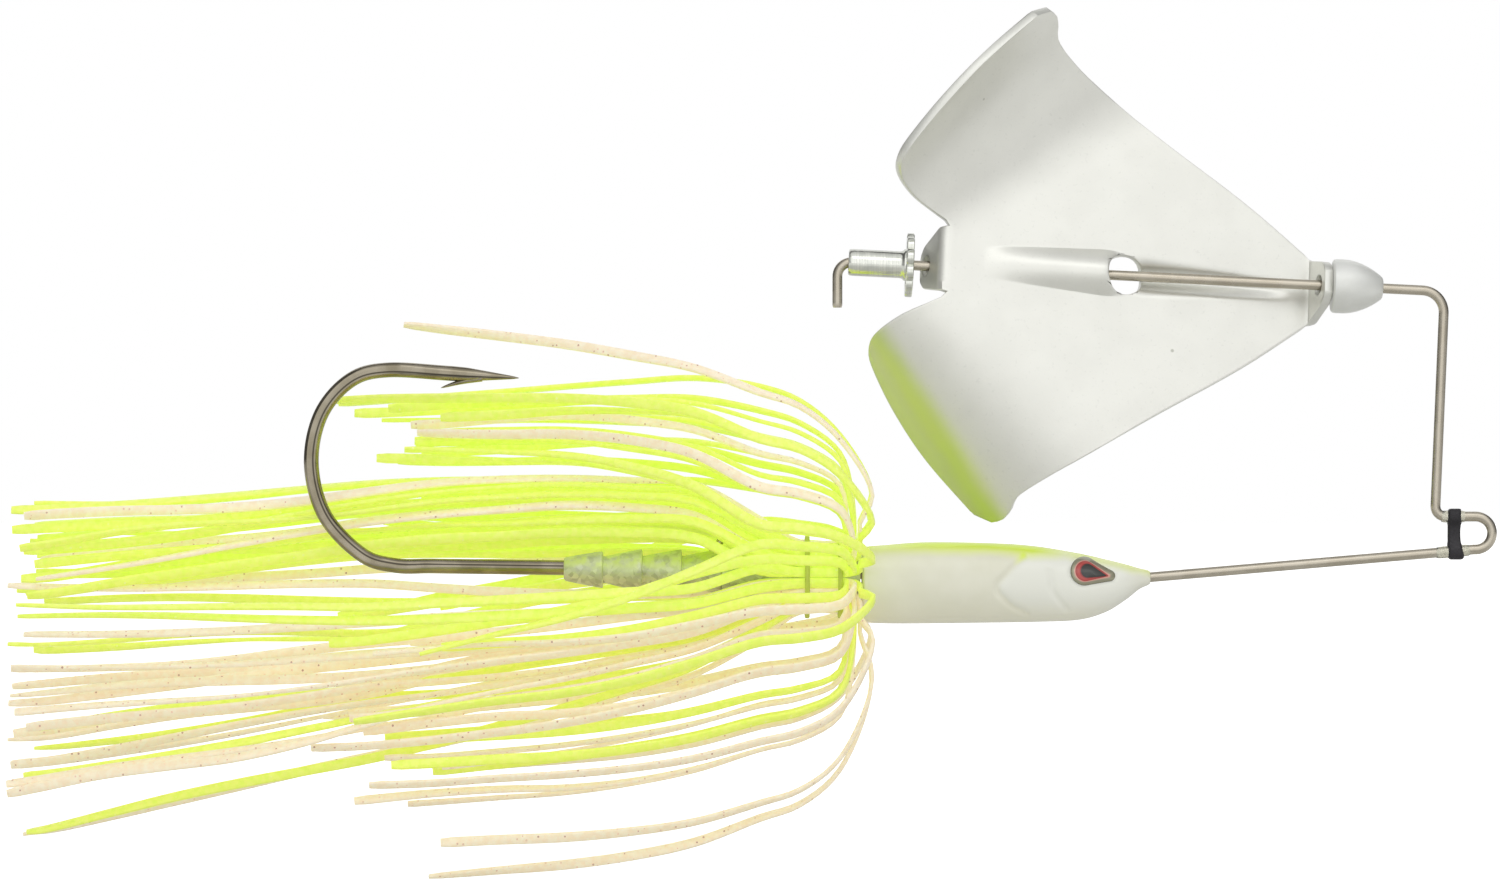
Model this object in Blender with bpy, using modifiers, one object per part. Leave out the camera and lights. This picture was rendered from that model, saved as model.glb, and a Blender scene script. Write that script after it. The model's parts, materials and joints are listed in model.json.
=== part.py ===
"""A buzzbait: a skirted lead head on a bent wire frame, with a cupped blade that spins on the upper arm.

Metres, +Z up. The origin is the centre of the line tie, the bight at the front of the wire. +X runs
forward out of the line tie, and the hook, head and wire all lie in the plane Y = 0.
"""

import math

import bmesh
import bpy
import numpy as np
from mathutils import Matrix, Quaternion, Vector

# ---- driving dimensions, in metres and degrees -------------------------------------------------

# wire frame
WIRE_DIAMETER = 0.0010
LINE_TIE_RADIUS = 0.00165         # centre line of the bight
LINE_TIE_NECK = (-0.00405, 0.00165)   # where the riser turns forward into the bight
LOWER_ARM_SLOPE = 4.87            # degrees that the lower arm drops towards the head
RISER_BEND = 0.0022
NECK_BEND = 0.0010
TAIL_BEND = 0.0010
TAIL_DROP = 0.0046                # length of the turned-down tail that stops the rivet
SHAFT_CENTRE = (-0.03515, 0.02573)    # where the shaft crosses the blade
SHAFT_SLOPE = 2.81                # degrees that the shaft drops towards the front
WIRE_END_BEND = 0.0010
WIRE_END_RISE = 0.0025            # the cast-in end that stands up through the hook's eye

# line tie sleeve
SLEEVE_X = -0.0021
SLEEVE_LENGTH = 0.0013
SLEEVE_WALL = 0.0003

# head casting: distance ahead of the rear face, top and bottom above the head's axis, half width
HEAD_BACK_X = -0.06125
HEAD_AXIS_Z = -0.00515
HEAD_STATIONS = (
    (0.0000, 0.00379, -0.00380, 0.00330),
    (0.0022, 0.00397, -0.00390, 0.00345),
    (0.0064, 0.00425, -0.00390, 0.00360),
    (0.0129, 0.00415, -0.00382, 0.00360),
    (0.0172, 0.00385, -0.00375, 0.00350),
    (0.0215, 0.00315, -0.00355, 0.00310),
    (0.0242, 0.00255, -0.00280, 0.00255),
    (0.0262, 0.00205, -0.00160, 0.00195),
    (0.0276, 0.00165, -0.00050, 0.00125),
    (0.0286, 0.00145, -0.00010, 0.00082),
)
HEAD_SQUARENESS = 2.3             # 2 is an ellipse, more is boxier
HEAD_SIDES = 20

# skirt collar and barbed trailer keeper, cast in one piece with the head
SKIRT_AXIS_Z = -0.0044
COLLAR_LENGTH = 0.0142            # from the head's rear face to the keeper's front barb
KEEPER_BARB_LENGTH = 0.00393
KEEPER_BARB_RADII = (0.00225, 0.00215, 0.00210, 0.00183)    # front to back
KEEPER_NECK_RADII = (0.00150, 0.00145, 0.00135, 0.00120)
KEEPER_AXIS_Z = (-0.00385, -0.0036)   # at the front and at the rear end
BARB_FACE = 0.00015

# eyes
EYE_CENTRE = (0.0230, 0.00126)    # ahead of the rear face, above the head's axis
EYE_LENGTH = 0.0045
EYE_RADIUS = 0.00143
EYE_TIP_RADIUS = 0.00055
EYE_TILT = 9.0
EYE_SOCKET_DEPTH = 0.0006
EYE_DOME = 0.0003
EYE_SIDES = 20

# hook
HOOK_DIAMETER = 0.0015
HOOK_EYE_WIRE = 0.0010
HOOK_EYE_RADIUS = 0.00135
HOOK_EYE_AHEAD = 0.0177           # of the head's rear face
HOOK_EYE_Z = -0.0041
HOOK_BEND = (                     # behind the head's rear face, and height, from the shank on
    (0.04330, -0.00330),
    (0.04680, -0.00325),
    (0.05015, -0.00215),
    (0.05380, 0.00172),
    (0.05517, 0.00690),
    (0.05420, 0.01185),
    (0.05130, 0.01525),
    (0.04760, 0.01630),
    (0.04110, 0.01595),
)
HOOK_POINT = (0.0344, 0.01550)
HOOK_TIP_RADIUS = 0.00006
HOOK_BARB_LENGTH = 0.0021
HOOK_BARB_RADIUS = 0.00042
HOOK_BARB_ANGLE = 32.0

# keeper spike, a short pin cast into the keeper
SPIKE_DIAMETER = 0.00075
SPIKE_BASE = (0.0155, -0.00255)   # behind the head's rear face, and height
SPIKE_ANGLE = 54.6
SPIKE_LENGTH = 0.0027

# blade: a flat pattern, u forward along the sheet and v outward, then cupped and bent
BLADE_THICKNESS = 0.0009
BLADE_TILT = 10.0                 # angle of the sheet to the shaft
BLADE_TURN = 13.0                 # where the blade has stopped in its spin
CUP_AXIS = 35.0                   # direction of the cup's axis in the pattern
CUP_START = 0.0105                # distance of the cup's start from the crossing
CUP_RADIUS = 0.0174
CUP_TAPER = 0.33                  # growth of the cup's radius along its axis
FRONT_FOLD = 0.0184
REAR_FOLD = -0.0176
LEADING_EDGE = (
    (0.0184, 0.0035), (0.0120, 0.0084), (0.0040, 0.0139), (-0.0024, 0.0182), (-0.0065, 0.0209),
    (-0.0097, 0.0233), (-0.0112, 0.0252), (-0.0120, 0.0266),
)
TRAILING_EDGE = (
    (-0.0176, 0.0037), (-0.0198, 0.0047), (-0.0226, 0.0061), (-0.0249, 0.0082), (-0.0256, 0.0102),
    (-0.0252, 0.0124), (-0.0230, 0.0170), (-0.0196, 0.0216), (-0.0142, 0.0264),
)
EAR_ROOT = 0.0068                 # width at the fold
EAR_TIP = 0.0039
EAR_BEND = 0.0010
EAR_MARGIN = 0.0021               # from the hole's centre to the ear's end
FRONT_EAR_LEAN = 3.0
REAR_EAR_LEAN = 9.0
EAR_HOLE = 0.0020
CENTRE_HOLE = 0.0040
CHANNEL_DEPTH = 0.0013
CHANNEL_WIDTH = 0.0046
CHANNEL_LENGTHS = (0.0125, 0.0150)    # behind and ahead of the centre hole
WING_ROWS = 9
EAR_ROWS = 8
SHEET_COLUMNS = 14
EAR_COLUMNS = 4

# bead and rivet, both loose on the shaft
RUNNING_CLEARANCE = 0.0001
BEAD_LENGTH = 0.0051
BEAD_DIAMETER = 0.0054
BEAD_NOSE_DIAMETER = 0.0019
BEAD_TRAVEL = 0.0040
RIVET_LENGTH = 0.0065
RIVET_DIAMETER = 0.0027
RIVET_FLANGE = 0.0064
RIVET_FLANGE_THICKNESS = 0.00075
RIVET_TEETH = 10
RIVET_TOOTH = 0.0005
RIVET_GAP = 0.0008                # play between the rivet's star and the blade's rear ear

# skirt
STRAND_WIDTH = 0.0010
STRAND_THICKNESS = 0.00042
LAYER_COUNTS = (12, 16, 20)
STRAND_GAP = 0.00003
WAIST_LENGTH = 0.0028
BAND_WIDTH = 0.0005
BAND_WALL = 0.0003
FOLD_CORNER = 0.00015             # inside radius of the tightest fold at the head
FACE_CLEARANCE = 0.0001

CAST_GAP = 0.0001                 # left all round the pieces that are cast into the lead
TOUCH_GAP = 0.00005

# how far the fringe stands off the skirt's axis, by distance behind the head's rear face: the first
# number of each pair is for the strands at the sides, the second for those straight above or below
REACH_BACK = (0.0, 0.0023, 0.0063, 0.0103, 0.0168, 0.0263, 0.0463, 0.0600, 0.0860)
REAR_UP = (0.0030, 0.0030, 0.0033, 0.0062, 0.0095, 0.0100, 0.0092, 0.0084, 0.0075)
REAR_UP_LOW = (0.0, 0.0, 0.0, 0.0, 0.0034, 0.0046, 0.0032, 0.0005, -0.0050)
REAR_DOWN = (0.0030, 0.0030, 0.0033, 0.0064, 0.0100, 0.0130, 0.0184, 0.0220, 0.0282)
REAR_DOWN_LOW = (0.0, 0.0, 0.0, 0.0, 0.0014, 0.0018, 0.0018, 0.0015, 0.0005)
REAR_SIDE = (0.0030, 0.0030, 0.0033, 0.0058, 0.0080, 0.0095, 0.0110, 0.0115, 0.0120)
FRONT_UP = (0.0120, 0.0158, 0.0196, 0.0212, 0.0222, 0.0218, 0.0202, 0.0194, 0.0190)
FRONT_UP_LOW = (0.0, 0.0, 0.0, 0.0, 0.0044, 0.0080, 0.0092, 0.0095, 0.0095)
FRONT_DOWN = (0.0140, 0.0180, 0.0212, 0.0225, 0.0245, 0.0262, 0.0275, 0.0280, 0.0280)
FRONT_DOWN_LOW = (0.0, 0.0, 0.0, 0.0, 0.0016, 0.0040, 0.0064, 0.0070, 0.0070)
FRONT_SIDE = (0.0095, 0.0108, 0.0124, 0.0134, 0.0136, 0.0132, 0.0126, 0.0125, 0.0125)
REAR_SHARE = (0.45, 0.72, 1.0)    # of that reach, from the inner layer to the outer
FRONT_SHARE = (1.0, 0.78, 0.58)
REAR_TAIL = (0.0826, 0.0862)      # shortest and longest, from the head's rear face
FRONT_TAIL = (0.0415, 0.0548)
FIRST_PLANES = (0.0023, 0.0063, 0.0103)
PLANE_STEP = 0.0065
FOLD_BULGE = (0.0012, 0.0)     # how far the two inner layers swell forward past the fold
FOLD_CLEAR = 0.0018
RIBBON_ROOM = 0.00136             # least distance kept between two strands of the fringe
SETTLING_ROUNDS = 300
HOOK_SIDE_ROOM = 0.0027           # the upper fringe passes the hook this far to its left
HOOK_APPROACH = (0.0120, 0.0340)
UNDER_SHANK = -0.0009             # the lower fringe stays below this, measured from the skirt's axis
CORE_ROOM = (0.00295, 0.0016)     # kept round the keeper and round the bare shank
SPIKE_ROOM = 0.0020               # kept to each side of the keeper spike
RISER_LIFT = 0.0074               # the one strand that rises over the hook
RISER_DRIFT = -0.0016
RISER_TAIL = 0.0463
DROOP_TAILS = (0.0434, 0.0420)    # and the two that drop below the rest
ACCENT_EVERY = (7, 3)             # above they are chartreuse and below cream, but for every so many
SEED = 21


# ---- helpers --------------------------------------------------------------------------------------

for old in list(bpy.data.objects):
    bpy.data.objects.remove(old, do_unlink=True)

parts = bpy.data.collections.new("buzzbait")
cutters = bpy.data.collections.new("cutters")
bpy.context.scene.collection.children.link(parts)
bpy.context.scene.collection.children.link(cutters)


def principled(name, color, roughness, metallic=0.0):
    material = bpy.data.materials.new(name)
    material.use_nodes = True
    shader = material.node_tree.nodes["Principled BSDF"]
    shader.inputs["Base Color"].default_value = (*color, 1.0)
    shader.inputs["Roughness"].default_value = roughness
    shader.inputs["Metallic"].default_value = metallic
    return material


def add_object(name, mesh, material=None, collection=parts):
    obj = bpy.data.objects.new(name, mesh)
    collection.objects.link(obj)
    if material:
        mesh.materials.append(material)
        mesh.shade_smooth()
        mesh.set_sharp_from_angle(angle=math.radians(40))
    return obj


def mesh_from(name, build):
    """A mesh whose contents the function build puts into an empty bmesh."""
    bm = bmesh.new()
    build(bm)
    bmesh.ops.recalc_face_normals(bm, faces=bm.faces[:])
    mesh = bpy.data.meshes.new(name)
    bm.to_mesh(mesh)
    bm.free()
    return mesh


def loft(name, rings):
    """A closed skin over rings of points, each as many and in the same order, capped at both ends."""
    def build(bm):
        loops = [[bm.verts.new(point) for point in ring] for ring in rings]
        for low, high in zip(loops, loops[1:]):
            for side in range(len(low)):
                after = (side + 1) % len(low)
                bm.faces.new((low[side], low[after], high[after], high[side]))
        bm.faces.new(loops[0][::-1])
        bm.faces.new(loops[-1])
    return mesh_from(name, build)


def smooth_curve(points, count):
    """count points, evenly spaced, on a smooth curve through the given ones."""
    given = np.array(points, float)
    ends = np.vstack([2 * given[0] - given[1], given, 2 * given[-1] - given[-2]])
    fine = []
    for a, b, c, d in zip(ends, ends[1:], ends[2:], ends[3:]):
        for t in np.linspace(0, 1, 12, endpoint=False):
            fine.append(
                0.5 * (
                    2 * b + (c - a) * t + (2 * a - 5 * b + 4 * c - d) * t**2 + (3 * b - a - 3 * c + d) * t**3
                )
            )
    fine = np.array(fine + [given[-1]])
    run = np.r_[0, np.cumsum(np.linalg.norm(np.diff(fine, axis=0), axis=1))]
    at = np.linspace(0, run[-1], count)
    return np.stack([np.interp(at, run, fine[:, axis]) for axis in range(fine.shape[1])], axis=1)


def bent_path(corners, radii, steps=7):
    """Points along straight runs whose corners are rounded to the given radii."""
    path = [Vector(corners[0])]
    for before, corner, after, radius in zip(corners, corners[1:], corners[2:], radii):
        corner = Vector(corner)
        back = (Vector(before) - corner).normalized()
        ahead = (Vector(after) - corner).normalized()
        half = back.angle(ahead) / 2
        centre = corner + (back + ahead).normalized() * radius / math.sin(half)
        start = corner + back * radius / math.tan(half) - centre
        finish = corner + ahead * radius / math.tan(half) - centre
        sweep = start.angle(finish)
        for step in range(steps + 1):
            path.append(centre + Quaternion(start.cross(finish), sweep * step / steps) @ start)
    path.append(Vector(corners[-1]))
    return path


def tube(name, path, radii, sides_setting=2, material=None, collection=parts):
    """A round wire along a path, as a mesh with welded caps."""
    curve = bpy.data.curves.new(name, "CURVE")
    curve.dimensions = "3D"
    curve.bevel_depth = 1.0
    curve.bevel_resolution = sides_setting
    curve.use_fill_caps = True
    spline = curve.splines.new("POLY")
    spline.points.add(len(path) - 1)
    for point, place, radius in zip(spline.points, path, radii):
        point.co = (*place, 1.0)
        point.radius = radius
    guide = bpy.data.objects.new(name + "_path", curve)
    bpy.context.scene.collection.objects.link(guide)
    bpy.context.view_layer.update()
    evaluated = guide.evaluated_get(bpy.context.evaluated_depsgraph_get())
    mesh = bpy.data.meshes.new_from_object(evaluated)
    mesh.name = name
    bpy.data.objects.remove(guide, do_unlink=True)
    bm = bmesh.new()
    bm.from_mesh(mesh)
    bmesh.ops.remove_doubles(bm, verts=bm.verts[:], dist=1e-7)
    bmesh.ops.recalc_face_normals(bm, faces=bm.faces[:])
    bm.to_mesh(mesh)
    bm.free()
    mesh.materials.clear()
    return add_object(name, mesh, material, collection)


def round_bar(name, start, finish, radius, sides=20):
    """A cylinder between two points, as a cutter."""
    start, finish = Vector(start), Vector(finish)
    mesh = mesh_from(name, lambda bm: bmesh.ops.create_cone(
        bm, cap_ends=True, segments=sides, radius1=radius, radius2=radius, depth=(finish - start).length
    ))
    turn = (finish - start).to_track_quat("Z", "Y").to_matrix().to_4x4()
    mesh.transform(Matrix.Translation((start + finish) / 2) @ turn)
    return add_object(name, mesh, collection=cutters)


def combine(obj, others, operation):
    """A Boolean of obj with each of the others, which stay as hidden helpers."""
    for other in others:
        other.hide_render = True
        other.display_type = "WIRE"
        modifier = obj.modifiers.new(other.name, "BOOLEAN")
        modifier.operation = operation
        modifier.object = other


def turned(name, profile, material, steps=24):
    """A body turned about its own Z axis from (radius, height) points, listed from the top down."""
    def build(bm):
        corners = [bm.verts.new((radius, 0, height)) for radius, height in profile]
        for low, high in zip(corners, corners[1:] + corners[:1]):
            bm.edges.new((low, high))
    mesh = bpy.data.meshes.new(name)
    bm = bmesh.new()
    build(bm)
    bm.to_mesh(mesh)
    bm.free()
    obj = add_object(name, mesh, material)
    screw = obj.modifiers.new("turn", "SCREW")
    screw.steps = steps
    screw.render_steps = steps
    screw.use_merge_vertices = True
    screw.merge_threshold = 1e-6
    screw.use_smooth_shade = True
    return obj


PEARL = principled("pearl_paint", (0.86, 0.86, 0.80), 0.35)
STEEL = principled("wire_steel", (0.42, 0.40, 0.37), 0.3, 1.0)
NICKEL = principled("black_nickel", (0.10, 0.10, 0.10), 0.28, 1.0)
SILVER = principled("silver_paint", (0.70, 0.71, 0.71), 0.4)
ALUMINIUM = principled("aluminium", (0.80, 0.81, 0.82), 0.22, 1.0)
BLACK = principled("black_rubber", (0.015, 0.015, 0.018), 0.6)
EYE_RED = principled("eye_red", (0.55, 0.05, 0.05), 0.12)
CHARTREUSE = principled("chartreuse_silicone", (0.62, 0.92, 0.06), 0.45)
CREAM = principled("cream_silicone", (0.78, 0.67, 0.48), 0.5)

# ---- shaft line ---------------------------------------------------------------------------------

wire_radius = WIRE_DIAMETER / 2
shaft_origin = Vector((SHAFT_CENTRE[0], 0, SHAFT_CENTRE[1]))
slope = math.radians(SHAFT_SLOPE)
shaft_axis = Vector((math.cos(slope), 0, -math.sin(slope)))
shaft_up = Vector((math.sin(slope), 0, math.cos(slope)))
# local Z runs forward along the shaft, local X to the far side and local Y up
shaft_turn = Matrix((shaft_up.cross(shaft_axis), shaft_up, shaft_axis)).transposed().to_4x4()


def on_shaft(distance):
    return shaft_origin + shaft_axis * distance


def place_on_shaft(obj, distance=0.0, turn=0.0):
    """Sets an object that is built about its own Z axis onto the shaft."""
    spin = Matrix.Rotation(math.radians(turn), 4, "Z")
    obj.matrix_world = Matrix.Translation(on_shaft(distance)) @ shaft_turn @ spin


# ---- blade --------------------------------------------------------------------------------------

tilt = math.radians(BLADE_TILT)
ear_half = EAR_ROOT / 2
wing_front = smooth_curve(LEADING_EDGE, WING_ROWS + 1)
wing_rear = smooth_curve(TRAILING_EDGE, WING_ROWS + 1)


def cupped(u, v):
    """A point of the flat pattern's upper wing after the cup is rolled: (u, v, height)."""
    angle = math.radians(CUP_AXIS)
    along = Vector((math.cos(angle), math.sin(angle)))
    outward = Vector((-math.sin(angle), math.cos(angle)))
    flat = Vector((u, v))
    past = flat.dot(outward) - CUP_START
    if past <= 0:
        return u, v, 0.0
    radius = CUP_RADIUS + CUP_TAPER * flat.dot(along)
    bent = flat + outward * (radius * math.sin(past / radius) - past)
    return bent.x, bent.y, radius * (1 - math.cos(past / radius))


def channel(u, v):
    """Height of the wire's channel: out of one side behind the centre hole, out of the other ahead."""
    hole = CENTRE_HOLE / 2
    length = CHANNEL_LENGTHS[0] if u < 0 else CHANNEL_LENGTHS[1]
    fade = min(max(1 - (abs(u) - hole) / length, 0.0), 1.0)
    half_width = CHANNEL_WIDTH / 2 * (0.35 + 0.65 * fade)
    if abs(v) >= half_width:
        return 0.0
    side = min(max(-u / hole, -1.0), 1.0)
    return side * CHANNEL_DEPTH * fade**0.7 * math.cos(math.pi * v / (2 * half_width)) ** 2


def ear_point(share, row_v, fold, lean, facing):
    """A point of an ear: share runs from the fold to the ear's end, facing is the side it stands to."""
    forward = 1 if fold > 0 else -1
    turn = math.radians(90 - lean)
    bend_run = EAR_BEND * turn
    reach = abs(fold) * math.tan(tilt) + EAR_MARGIN
    length = reach - EAR_BEND * (1 - math.sin(math.radians(lean))) + bend_run
    run = share * length
    angle = min(run, bend_run) / EAR_BEND
    u = EAR_BEND * math.sin(angle)
    n = EAR_BEND * (1 - math.cos(angle))
    straight = max(run - bend_run, 0.0)
    u += straight * math.cos(turn)
    n += straight * math.sin(turn)
    width = EAR_ROOT + (EAR_TIP - EAR_ROOT) * share
    corner = 1 - 0.22 * max(share - 0.85, 0) / 0.15
    return fold + forward * u, row_v * width / EAR_ROOT * corner, facing * n


def blade_point(row, column):
    """A point of the blade's middle surface, as (u, v, n) with n standing to the near side."""
    lower = row < 0
    level = abs(row)
    if level <= EAR_ROWS // 2:
        v = ear_half * level / (EAR_ROWS // 2)
        front, rear = Vector((FRONT_FOLD, v)), Vector((REAR_FOLD, v))
    else:
        front = Vector(wing_front[level - EAR_ROWS // 2])
        rear = Vector(wing_rear[level - EAR_ROWS // 2])
    share = min(max(column / SHEET_COLUMNS, 0.0), 1.0)
    flat = rear.lerp(front, share)
    if column < 0:
        u, v, n = ear_point(-column / EAR_COLUMNS, rear.y, REAR_FOLD, REAR_EAR_LEAN, -1)
        return u, -v if lower else v, n
    if column > SHEET_COLUMNS:
        u, v, n = ear_point((column - SHEET_COLUMNS) / EAR_COLUMNS, front.y, FRONT_FOLD, FRONT_EAR_LEAN, 1)
        return u, -v if lower else v, n
    u, v, n = cupped(*flat)
    if lower:
        v, n = -v, -n
    return u, v, n + channel(u, v)


def build_blade(bm):
    rows = 2 * (WING_ROWS + EAR_ROWS // 2)
    columns = SHEET_COLUMNS + 2 * EAR_COLUMNS
    bmesh.ops.create_grid(bm, x_segments=columns, y_segments=rows, size=1.0)
    bm.verts.ensure_lookup_table()
    places = {}
    for vert in bm.verts:
        column = round((vert.co.x + 1) / 2 * columns) - EAR_COLUMNS
        row = round((vert.co.y + 1) / 2 * rows) - rows // 2
        places[vert] = (row, column)
    beyond = []
    for face in bm.faces:
        middle_row = abs(sum(places[v][0] for v in face.verts)) / len(face.verts)
        middle_column = sum(places[v][1] for v in face.verts) / len(face.verts)
        if middle_row > EAR_ROWS / 2 and not 0 < middle_column < SHEET_COLUMNS:
            beyond.append(face)
    bmesh.ops.delete(bm, geom=beyond, context="FACES")
    for vert in bm.verts:
        u, v, n = blade_point(*places[vert])
        # local axes: X to the far side, Y up, Z forward along the shaft
        vert.co = (
            u * math.sin(tilt) - n * math.cos(tilt),
            v,
            u * math.cos(tilt) + n * math.sin(tilt),
        )


blade = add_object("buzz_blade", mesh_from("buzz_blade", build_blade), PEARL)
sheet = blade.modifiers.new("sheet", "SOLIDIFY")
sheet.thickness = BLADE_THICKNESS
sheet.offset = 0
sheet.use_even_offset = True
drill_reach = FRONT_FOLD - REAR_FOLD
ear_drill = round_bar("ear_drill", (0, 0, -drill_reach), (0, 0, drill_reach), EAR_HOLE / 2, 16)
through = Vector((-math.cos(tilt), 0, math.sin(tilt))) * (CHANNEL_DEPTH + 3 * BLADE_THICKNESS)
centre_drill = round_bar("centre_drill", -through, through, CENTRE_HOLE / 2, 20)
combine(blade, [ear_drill, centre_drill], "DIFFERENCE")
for piece in (blade, ear_drill, centre_drill):
    place_on_shaft(piece, turn=-BLADE_TURN)
bpy.context.view_layer.update()
blade_mesh = blade.evaluated_get(bpy.context.evaluated_depsgraph_get()).to_mesh()
blade_heights = [vert.co.z for vert in blade_mesh.vertices if vert.co.xy.length < RIVET_FLANGE / 2]
blade_ends = (min(blade_heights), max(blade_heights))

# ---- bead and rivet, turned about the shaft ----------------------------------------------------------

bore = wire_radius + RUNNING_CLEARANCE
bead_back = blade_ends[1] + RUNNING_CLEARANCE
bead_radius = BEAD_DIAMETER / 2
nose_radius = BEAD_NOSE_DIAMETER / 2
nose_swell = bead_radius - nose_radius
ogive = [
    (nose_radius + nose_swell * math.cos(part * math.pi / 2) ** 0.8, BEAD_LENGTH * (0.2 + 0.8 * part))
    for part in (1.0, 0.85, 0.7, 0.55, 0.4, 0.2, 0.0)
]
bead = turned(
    "bullet_bead",
    [(bore, BEAD_LENGTH), *ogive, (bead_radius, 0.0002), (bead_radius - 0.0002, 0), (bore, 0)],
    SILVER,
)
place_on_shaft(bead, bead_back)

rivet_front = blade_ends[0] - RIVET_GAP
rivet_back = rivet_front - RIVET_LENGTH
body = turned(
    "star_rivet",
    [
        (bore, RIVET_LENGTH), (RIVET_DIAMETER / 2 + 0.0006, RIVET_LENGTH),
        (RIVET_DIAMETER / 2 + 0.0006, RIVET_LENGTH - RIVET_FLANGE_THICKNESS - 0.0004),
        (RIVET_DIAMETER / 2, RIVET_LENGTH - RIVET_FLANGE_THICKNESS - 0.0005),
        (RIVET_DIAMETER / 2, 0.0002), (RIVET_DIAMETER / 2 - 0.0002, 0), (bore, 0),
    ],
    ALUMINIUM,
    steps=20,
)


def star_ring(height, shrink):
    """One level of the rivet's toothed flange."""
    ring = []
    for step in range(RIVET_TEETH * 4):
        angle = math.tau * step / (RIVET_TEETH * 4)
        tooth = (0.5, 1.0, 0.5, 0.0)[step % 4]
        radius = RIVET_FLANGE / 2 - RIVET_TOOTH * tooth - shrink
        ring.append((radius * math.cos(angle), radius * math.sin(angle), height))
    return ring


flange_low = RIVET_LENGTH - RIVET_FLANGE_THICKNESS
star = add_object(
    "star_flange",
    loft("star_flange", [star_ring(flange_low, 0.00008), star_ring(flange_low + 0.0001, 0), star_ring(
        RIVET_LENGTH - 0.0001, 0), star_ring(RIVET_LENGTH - 0.00003, 0.00008)]),
    collection=cutters,
)
rivet_bore = round_bar("rivet_bore", (0, 0, -0.001), (0, 0, RIVET_LENGTH + 0.001), bore, 20)
combine(body, [star], "UNION")
combine(body, [rivet_bore], "DIFFERENCE")
for piece in (body, star, rivet_bore):
    place_on_shaft(piece, rivet_back)

# ---- wire frame ---------------------------------------------------------------------------------

lower_slope = math.radians(LOWER_ARM_SLOPE)
eye_hook = Vector((HEAD_BACK_X + HOOK_EYE_AHEAD, 0, HOOK_EYE_Z))


def lower_arm(x):
    """The lower arm's centre line at x, behind the bight."""
    return Vector((x, 0, -LINE_TIE_RADIUS / math.cos(lower_slope) + math.tan(lower_slope) * x))


def arc(centre, radius, first, last, steps):
    angles = [math.radians(first + (last - first) * step / steps) for step in range(steps + 1)]
    return [Vector((centre[0] + radius * math.cos(a), 0, centre[1] + radius * math.sin(a))) for a in angles]


tail_corner = on_shaft(rivet_back - RUNNING_CLEARANCE - TAIL_BEND)
riser_corner = on_shaft(bead_back + BEAD_LENGTH + BEAD_TRAVEL + RISER_BEND)
neck = Vector((LINE_TIE_NECK[0], 0, LINE_TIE_NECK[1]))
cast_in = lower_arm(eye_hook.x)
upper_run = bent_path(
    [tail_corner - Vector((0, 0, TAIL_DROP)), tail_corner, riser_corner, neck, (0, 0, LINE_TIE_RADIUS)],
    [TAIL_BEND, RISER_BEND, NECK_BEND],
)
bight = arc((0, 0), LINE_TIE_RADIUS, 90, -90 - LOWER_ARM_SLOPE, 14)
lower_run = bent_path([bight[-1], cast_in, cast_in + Vector((0, 0, WIRE_END_RISE))], [WIRE_END_BEND])
wire_path = upper_run[:-1] + bight + lower_run[1:]
wire = tube("wire_arm", wire_path, [wire_radius] * len(wire_path), 2, STEEL)

# ---- sleeve that ties the bight's two legs together ---------------------------------------------------


def racetrack(low, high, radius, x, sides=8):
    """A ring of points round two wires that lie one above the other."""
    ring = []
    for end, start in ((high, 0.0), (low, math.pi)):
        for step in range(sides + 1):
            angle = start + math.pi * step / sides
            ring.append(Vector((x, radius * math.cos(angle), end + radius * math.sin(angle))))
    return ring


sleeve_inner = wire_radius / math.cos(lower_slope) + TOUCH_GAP + SLEEVE_LENGTH * math.tan(lower_slope) / 2
sleeve_outer = sleeve_inner + SLEEVE_WALL
leg_low = lower_arm(SLEEVE_X).z
sleeve_ends = (SLEEVE_X - SLEEVE_LENGTH / 2, SLEEVE_X + SLEEVE_LENGTH / 2)
sleeve = add_object(
    "line_tie_sleeve",
    loft("line_tie_sleeve", [racetrack(leg_low, LINE_TIE_RADIUS, sleeve_outer, x) for x in sleeve_ends]),
    BLACK,
)
sleeve_hole = add_object(
    "sleeve_hole",
    loft("sleeve_hole", [
        racetrack(leg_low, LINE_TIE_RADIUS, sleeve_inner, x)
        for x in (sleeve_ends[0] - SLEEVE_LENGTH, sleeve_ends[1] + SLEEVE_LENGTH)
    ]),
    collection=cutters,
)
combine(sleeve, [sleeve_hole], "DIFFERENCE")

# ---- hook ---------------------------------------------------------------------------------------

hook_radius = HOOK_DIAMETER / 2
shank_end = Vector((HEAD_BACK_X - HOOK_BEND[0][0], 0, HOOK_BEND[0][1]))
bend = [Vector((HEAD_BACK_X - back, 0, z)) for back, z in smooth_curve(HOOK_BEND, 26)]
point = Vector((HEAD_BACK_X - HOOK_POINT[0], 0, HOOK_POINT[1]))
eye_neck = eye_hook + (shank_end - eye_hook).normalized() * HOOK_EYE_RADIUS
shank = [eye_neck, eye_neck.lerp(shank_end, 0.04), eye_neck.lerp(shank_end, 0.5)]
spear = [bend[-1].lerp(point, share) for share in (0.35, 0.7, 1.0)]
hook_path = shank + bend + spear
hook_radii = [HOOK_EYE_WIRE / 2, hook_radius, hook_radius] + [hook_radius] * len(bend)
hook_radii += [hook_radius * 0.78, hook_radius * 0.45, HOOK_TIP_RADIUS]
hook = tube("hook", hook_path, hook_radii, 3, NICKEL)

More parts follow.
